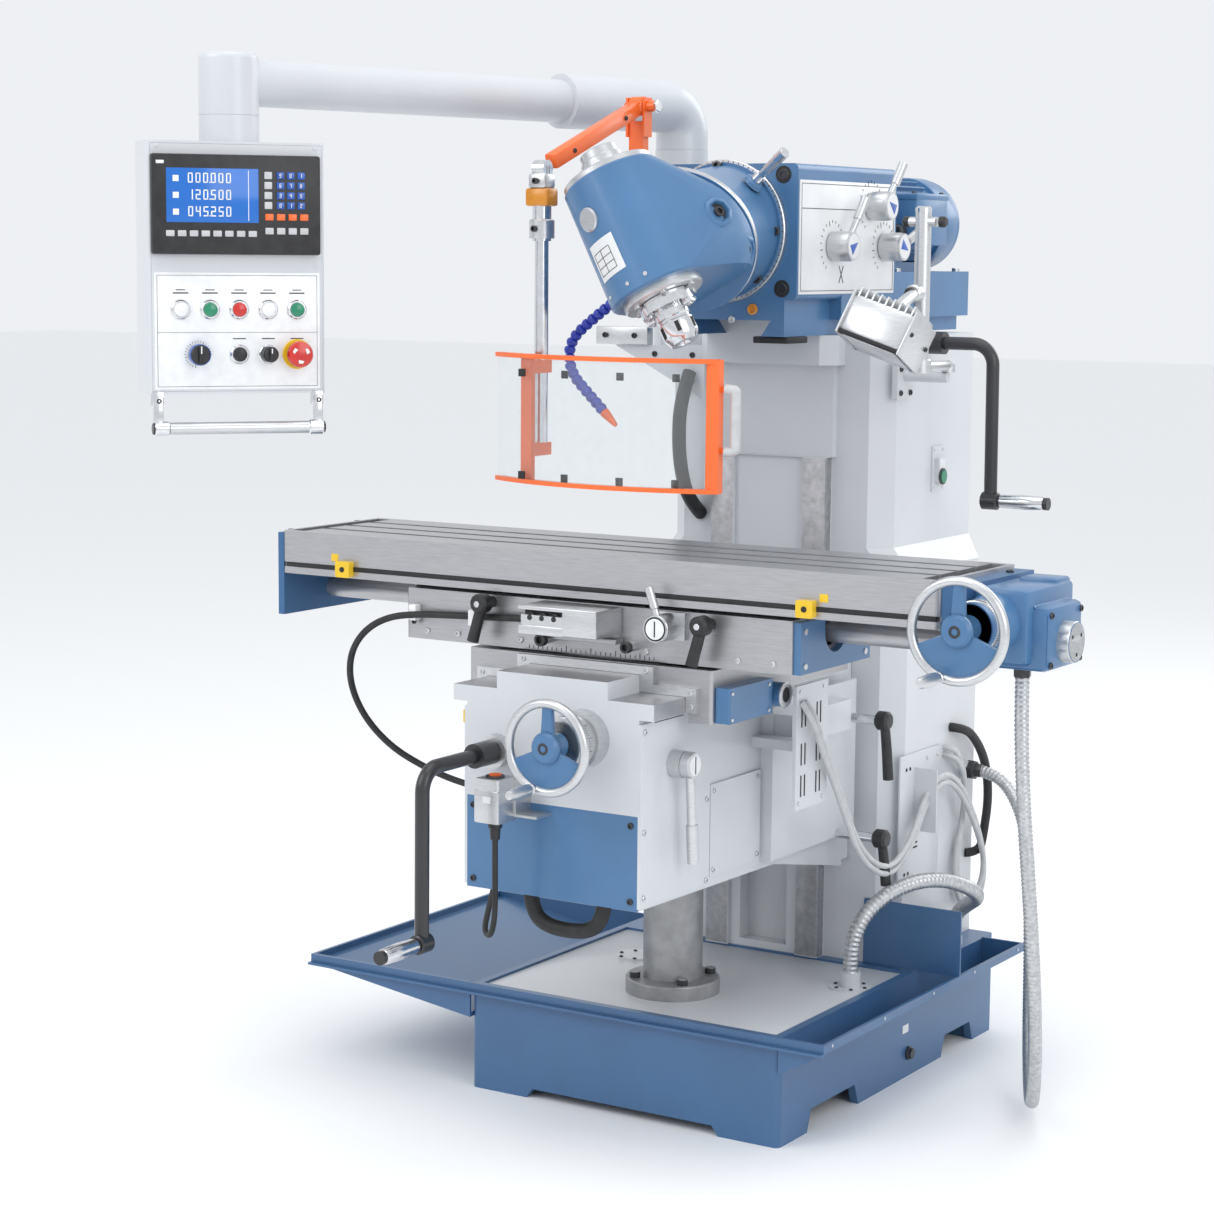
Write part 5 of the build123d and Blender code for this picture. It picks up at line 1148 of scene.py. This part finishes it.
# ---------------------------------------------------------------- lamp
def make_lamp():
    place = local_frame((318, -140, 1262), (0.94, 0, -0.3), (-0.28, -0.36, -0.89))
    lamp = Piece("lamp_housing", "work_lamp", "machined_aluminium", place)
    lamp.use(ALUMINIUM).box(-56, 56, -45, 45, -30, 34, 8)
    for k in range(9):
        x = -48 + 12 * k
        lamp.box(x - 2, x + 2, -44, 44, -42, -24, 1)
    for sx in (-1, 1):
        low, high = sorted((sx * 53, sx * 59))
        lamp.box(low, high, -48, 48, -34, 40, 2.5)
    # painted shade: near-black lining inside the rim, behind the lens
    lamp.use(RECESS_SHADE)
    lamp.box(-54, 54, -47, 47, 31, 38, 3)
    lamp.use(LENS).box(-48, 48, -40, 40, 35, 40, 2)
    lamp.use(BLACK_PAINT)
    for x in (-51, 51):
        for y in (-42, 42):
            lamp.disc((x, y, 37), (0, 0, 1), 3, 2, 0.5, 16)
    for sx in (-1, 1):
        for y in (-36, 36):
            lamp.bolt((sx * 59, y, 0), (sx, 0, 0), 4, 2.5)
    inverse = place.inverted()
    lamp.use(CHROME)
    neck = inverse @ Vector((306, -18, 1318))
    lamp.bar((0, 0, -38), neck, 10, 2)
    lamp.done("work_lamp")
    clamp = Piece("lamp_clamp", "work_lamp", "machined_aluminium")
    clamp.use(ALUMINIUM).bar((306, -3.4, 1318), (306, -26, 1318), 14, 2.5)
    clamp.use(BLACK).turned((306, -26, 1318), (0, -1, 0), ((0, 10), (10, 10), (13, 7), (13, 0)), 8)
    clamp.done()
    arm = Piece("lamp_arm_caps", "lamp_arm", "bright_steel")
    arm.use(CHROME)
    arm.turned((306, 10, 1448), (0, 0, 1), ((0, 13.6), (6, 13.6), (9, 9), (9, 0)), 28)
    arm.use(BLACK)
    for x, way in ((282, -1), (336, 1)):
        arm.turned((x, 10, 1432), (way, 0, 0), ((0, 9), (8, 9), (11, 6), (11, 0)), 20)
    arm.use(ALUMINIUM).ring((306, 10, 1190), (0, 0, 1), 18, 13, 22, 2, 28)
    arm.done()


# ---------------------------------------------------------------- coolant and right side
def make_coolant():
    pipe = Piece("coolant_nozzle", "head", "blue_plastic")
    line = nurbs_points([Vector(p) for p in ((-69, -330, 1300), (-110, -335, 1270), (-146, -340, 1236),
                                             (-140, -344, 1190),
                                             (-108, -346, 1160), (-72, -348, 1128))], 12)
    beads = resample(line, 13)
    pipe.use(COOLANT_BLUE)
    for a, b in zip(beads, beads[1:]):
        pipe.turned(a, (b - a).normalized(), ((-1, 5.5), (1, 8.4), (5, 9.4), (9, 8.2), (12, 6.2)), 20)
    pipe.use(NOZZLE).turned(beads[-1], (beads[-1] - beads[-2]).normalized(),
                            ((0, 8), (6, 7.5), (30, 3.6), (31, 2.4)), 20)
    pipe.done()
    bar = Piece("coolant_bracket", "root", "machined_aluminium")
    bar.use(ALUMINIUM).box(-342, -236, 50, 70, 1220, 1251, 2)
    bar.use(BLACK_PAINT)
    for x in (-322, -262):
        bar.bolt((x, 50, 1236), (0, -1, 0), 5, 4)
    bar.done()
    gusset = Piece("coolant_gusset", "root", "grey_paint", local_frame((0, 62, 0), (1, 0, 0), (0, -1, 0)))
    gusset.use(GREY).slab(((-308, 1219), (-126, 1128), (-126, 1223)), 0, 3, 0.5)
    gusset.use(BLACK_PAINT)
    for x, y in ((-150, 1160), (-150, 1205), (-226, 1205)):
        gusset.bolt((x, y, 3), (0, 0, 1), 5, 3)
    gusset.done()


def make_right_side():
    plate = Piece("cable_bracket", "root", "grey_paint")
    plate.use(GREY)
    plate.box(242, 246, 96, 251, 295, 537, 0.8)
    # painted shade: near-black discs and strips in the bracket's holes and slots
    plate.use(RECESS_SHADE)
    for y, z in ((118, 512), (132, 512), (118, 330), (132, 330)):
        plate.disc((246, y, z), (1, 0, 0), 3.2, 0.6, 0.1, 16)
    for z in (470, 462, 380, 372):
        plate.box(246, 246.5, 150, 166, z - 1.5, z + 1.5, 0)
    plate.use(ALUMINIUM)
    for y in (200, 240):
        for z in (310, 522):
            plate.disc((246, y, z), (1, 0, 0), 4, 2, 0.6, 16)
    plate.done()
    slots = Piece("switch_bracket_slots", "knee", "machined_aluminium")
    # painted shade: near-black strips in the bracket's slots
    slots.use(RECESS_SHADE)
    for y in (-312, -300, -262, -250):
        for z in (540, 590, 650):
            slots.box(271.8, 272.6, y - 1.6, y + 1.6, z, z + 34, 0)
    slots.use(ALUMINIUM)
    for y, z in ((-318, 706), (-240, 706), (-318, 530), (-240, 530)):
        slots.disc((272, y, z), (1, 0, 0), 3.4, 2, 0.6, 16)
    slots.done()
    levers = Piece("knee_clamp_grips", "knee", "black_plastic")
    for z, reach in ((615, 100), (416, 80)):  # the lower one clears the channel with the knee right down
        levers.use(CHROME).bar((158, 0, z), (250, 0, z), 8, 1)
        levers.use(BLACK)
        levers.turned((247, 0, z), (1, 0, 0), ((0, 12), (4, 16), (20, 16), (24, 12), (25, 0)), 28)
        levers.tube(((260, 2, z - 6), (262, 6, z - 30), (264, 12, z - reach)), 8, 16, 9)
    levers.done()


make_readout()
make_button_plate()
make_guard_trim()
make_lamp()
make_coolant()
make_right_side()
plain_cable("knee_conduit", "knee", RUBBER,
            ((-60, -572, 426), (-60, -572, 378), (-34, -572, 345), (50, -572, 345), (78, -572, 378),
             (78, -572, 426)), 12)
plain_cable("jog_cable", "knee", RUBBER,
            ((-60, -668, 506), (-60, -668, 440), (-62, -664, 380), (-78, -652, 338), (-104, -634, 340),
             (-110, -612, 372),
             (-110, -590, 420)), 4.5)
for shift in (0, 13):  # the two cables run side by side
    plain_cable("switch_cable_%d" % (shift // 13 + 1), "root", GREY_CABLE, (
        (273, -316 + shift, 690), (286, -308 + shift, 670), (286, -270, 610 + shift),
        (282, -192, 510 + shift), (272, -100, 398 + shift), (266, 20, 344 + shift),
        (268, 98, 385 + shift), (270, 148, 457 + shift), (274, 200, 485 + shift),
        (276, 260, 465 + shift), (275, 340, 385 + shift), (270, 402, 300),
        (266, 384 - shift, 232 + shift), (258, 320, 236 + shift), (252, 300 + shift, 310),
        (252, 340, 400), (258, 330, 470), (262, 290, 505 + shift),
        (256, 272, 515 + shift), (242, 272, 515 + shift)), 5)
plain_cable("motor_cable", "root", RUBBER,
            ((242, 297, 560), (258, 300, 560), (262, 345, 545), (262, 405, 490), (262, 425, 420),
             (258, 415, 350),
             (262, 390, 322), (242, 372, 322)), 8)


plain_cable("coolant_hose", "root", RUBBER,
            ((-150, 50, 1176), (-152, 24, 1130), (-150, 14, 1060), (-146, 20, 1000), (-144, 44, 955),
             (-144, 84, 930)), 12)
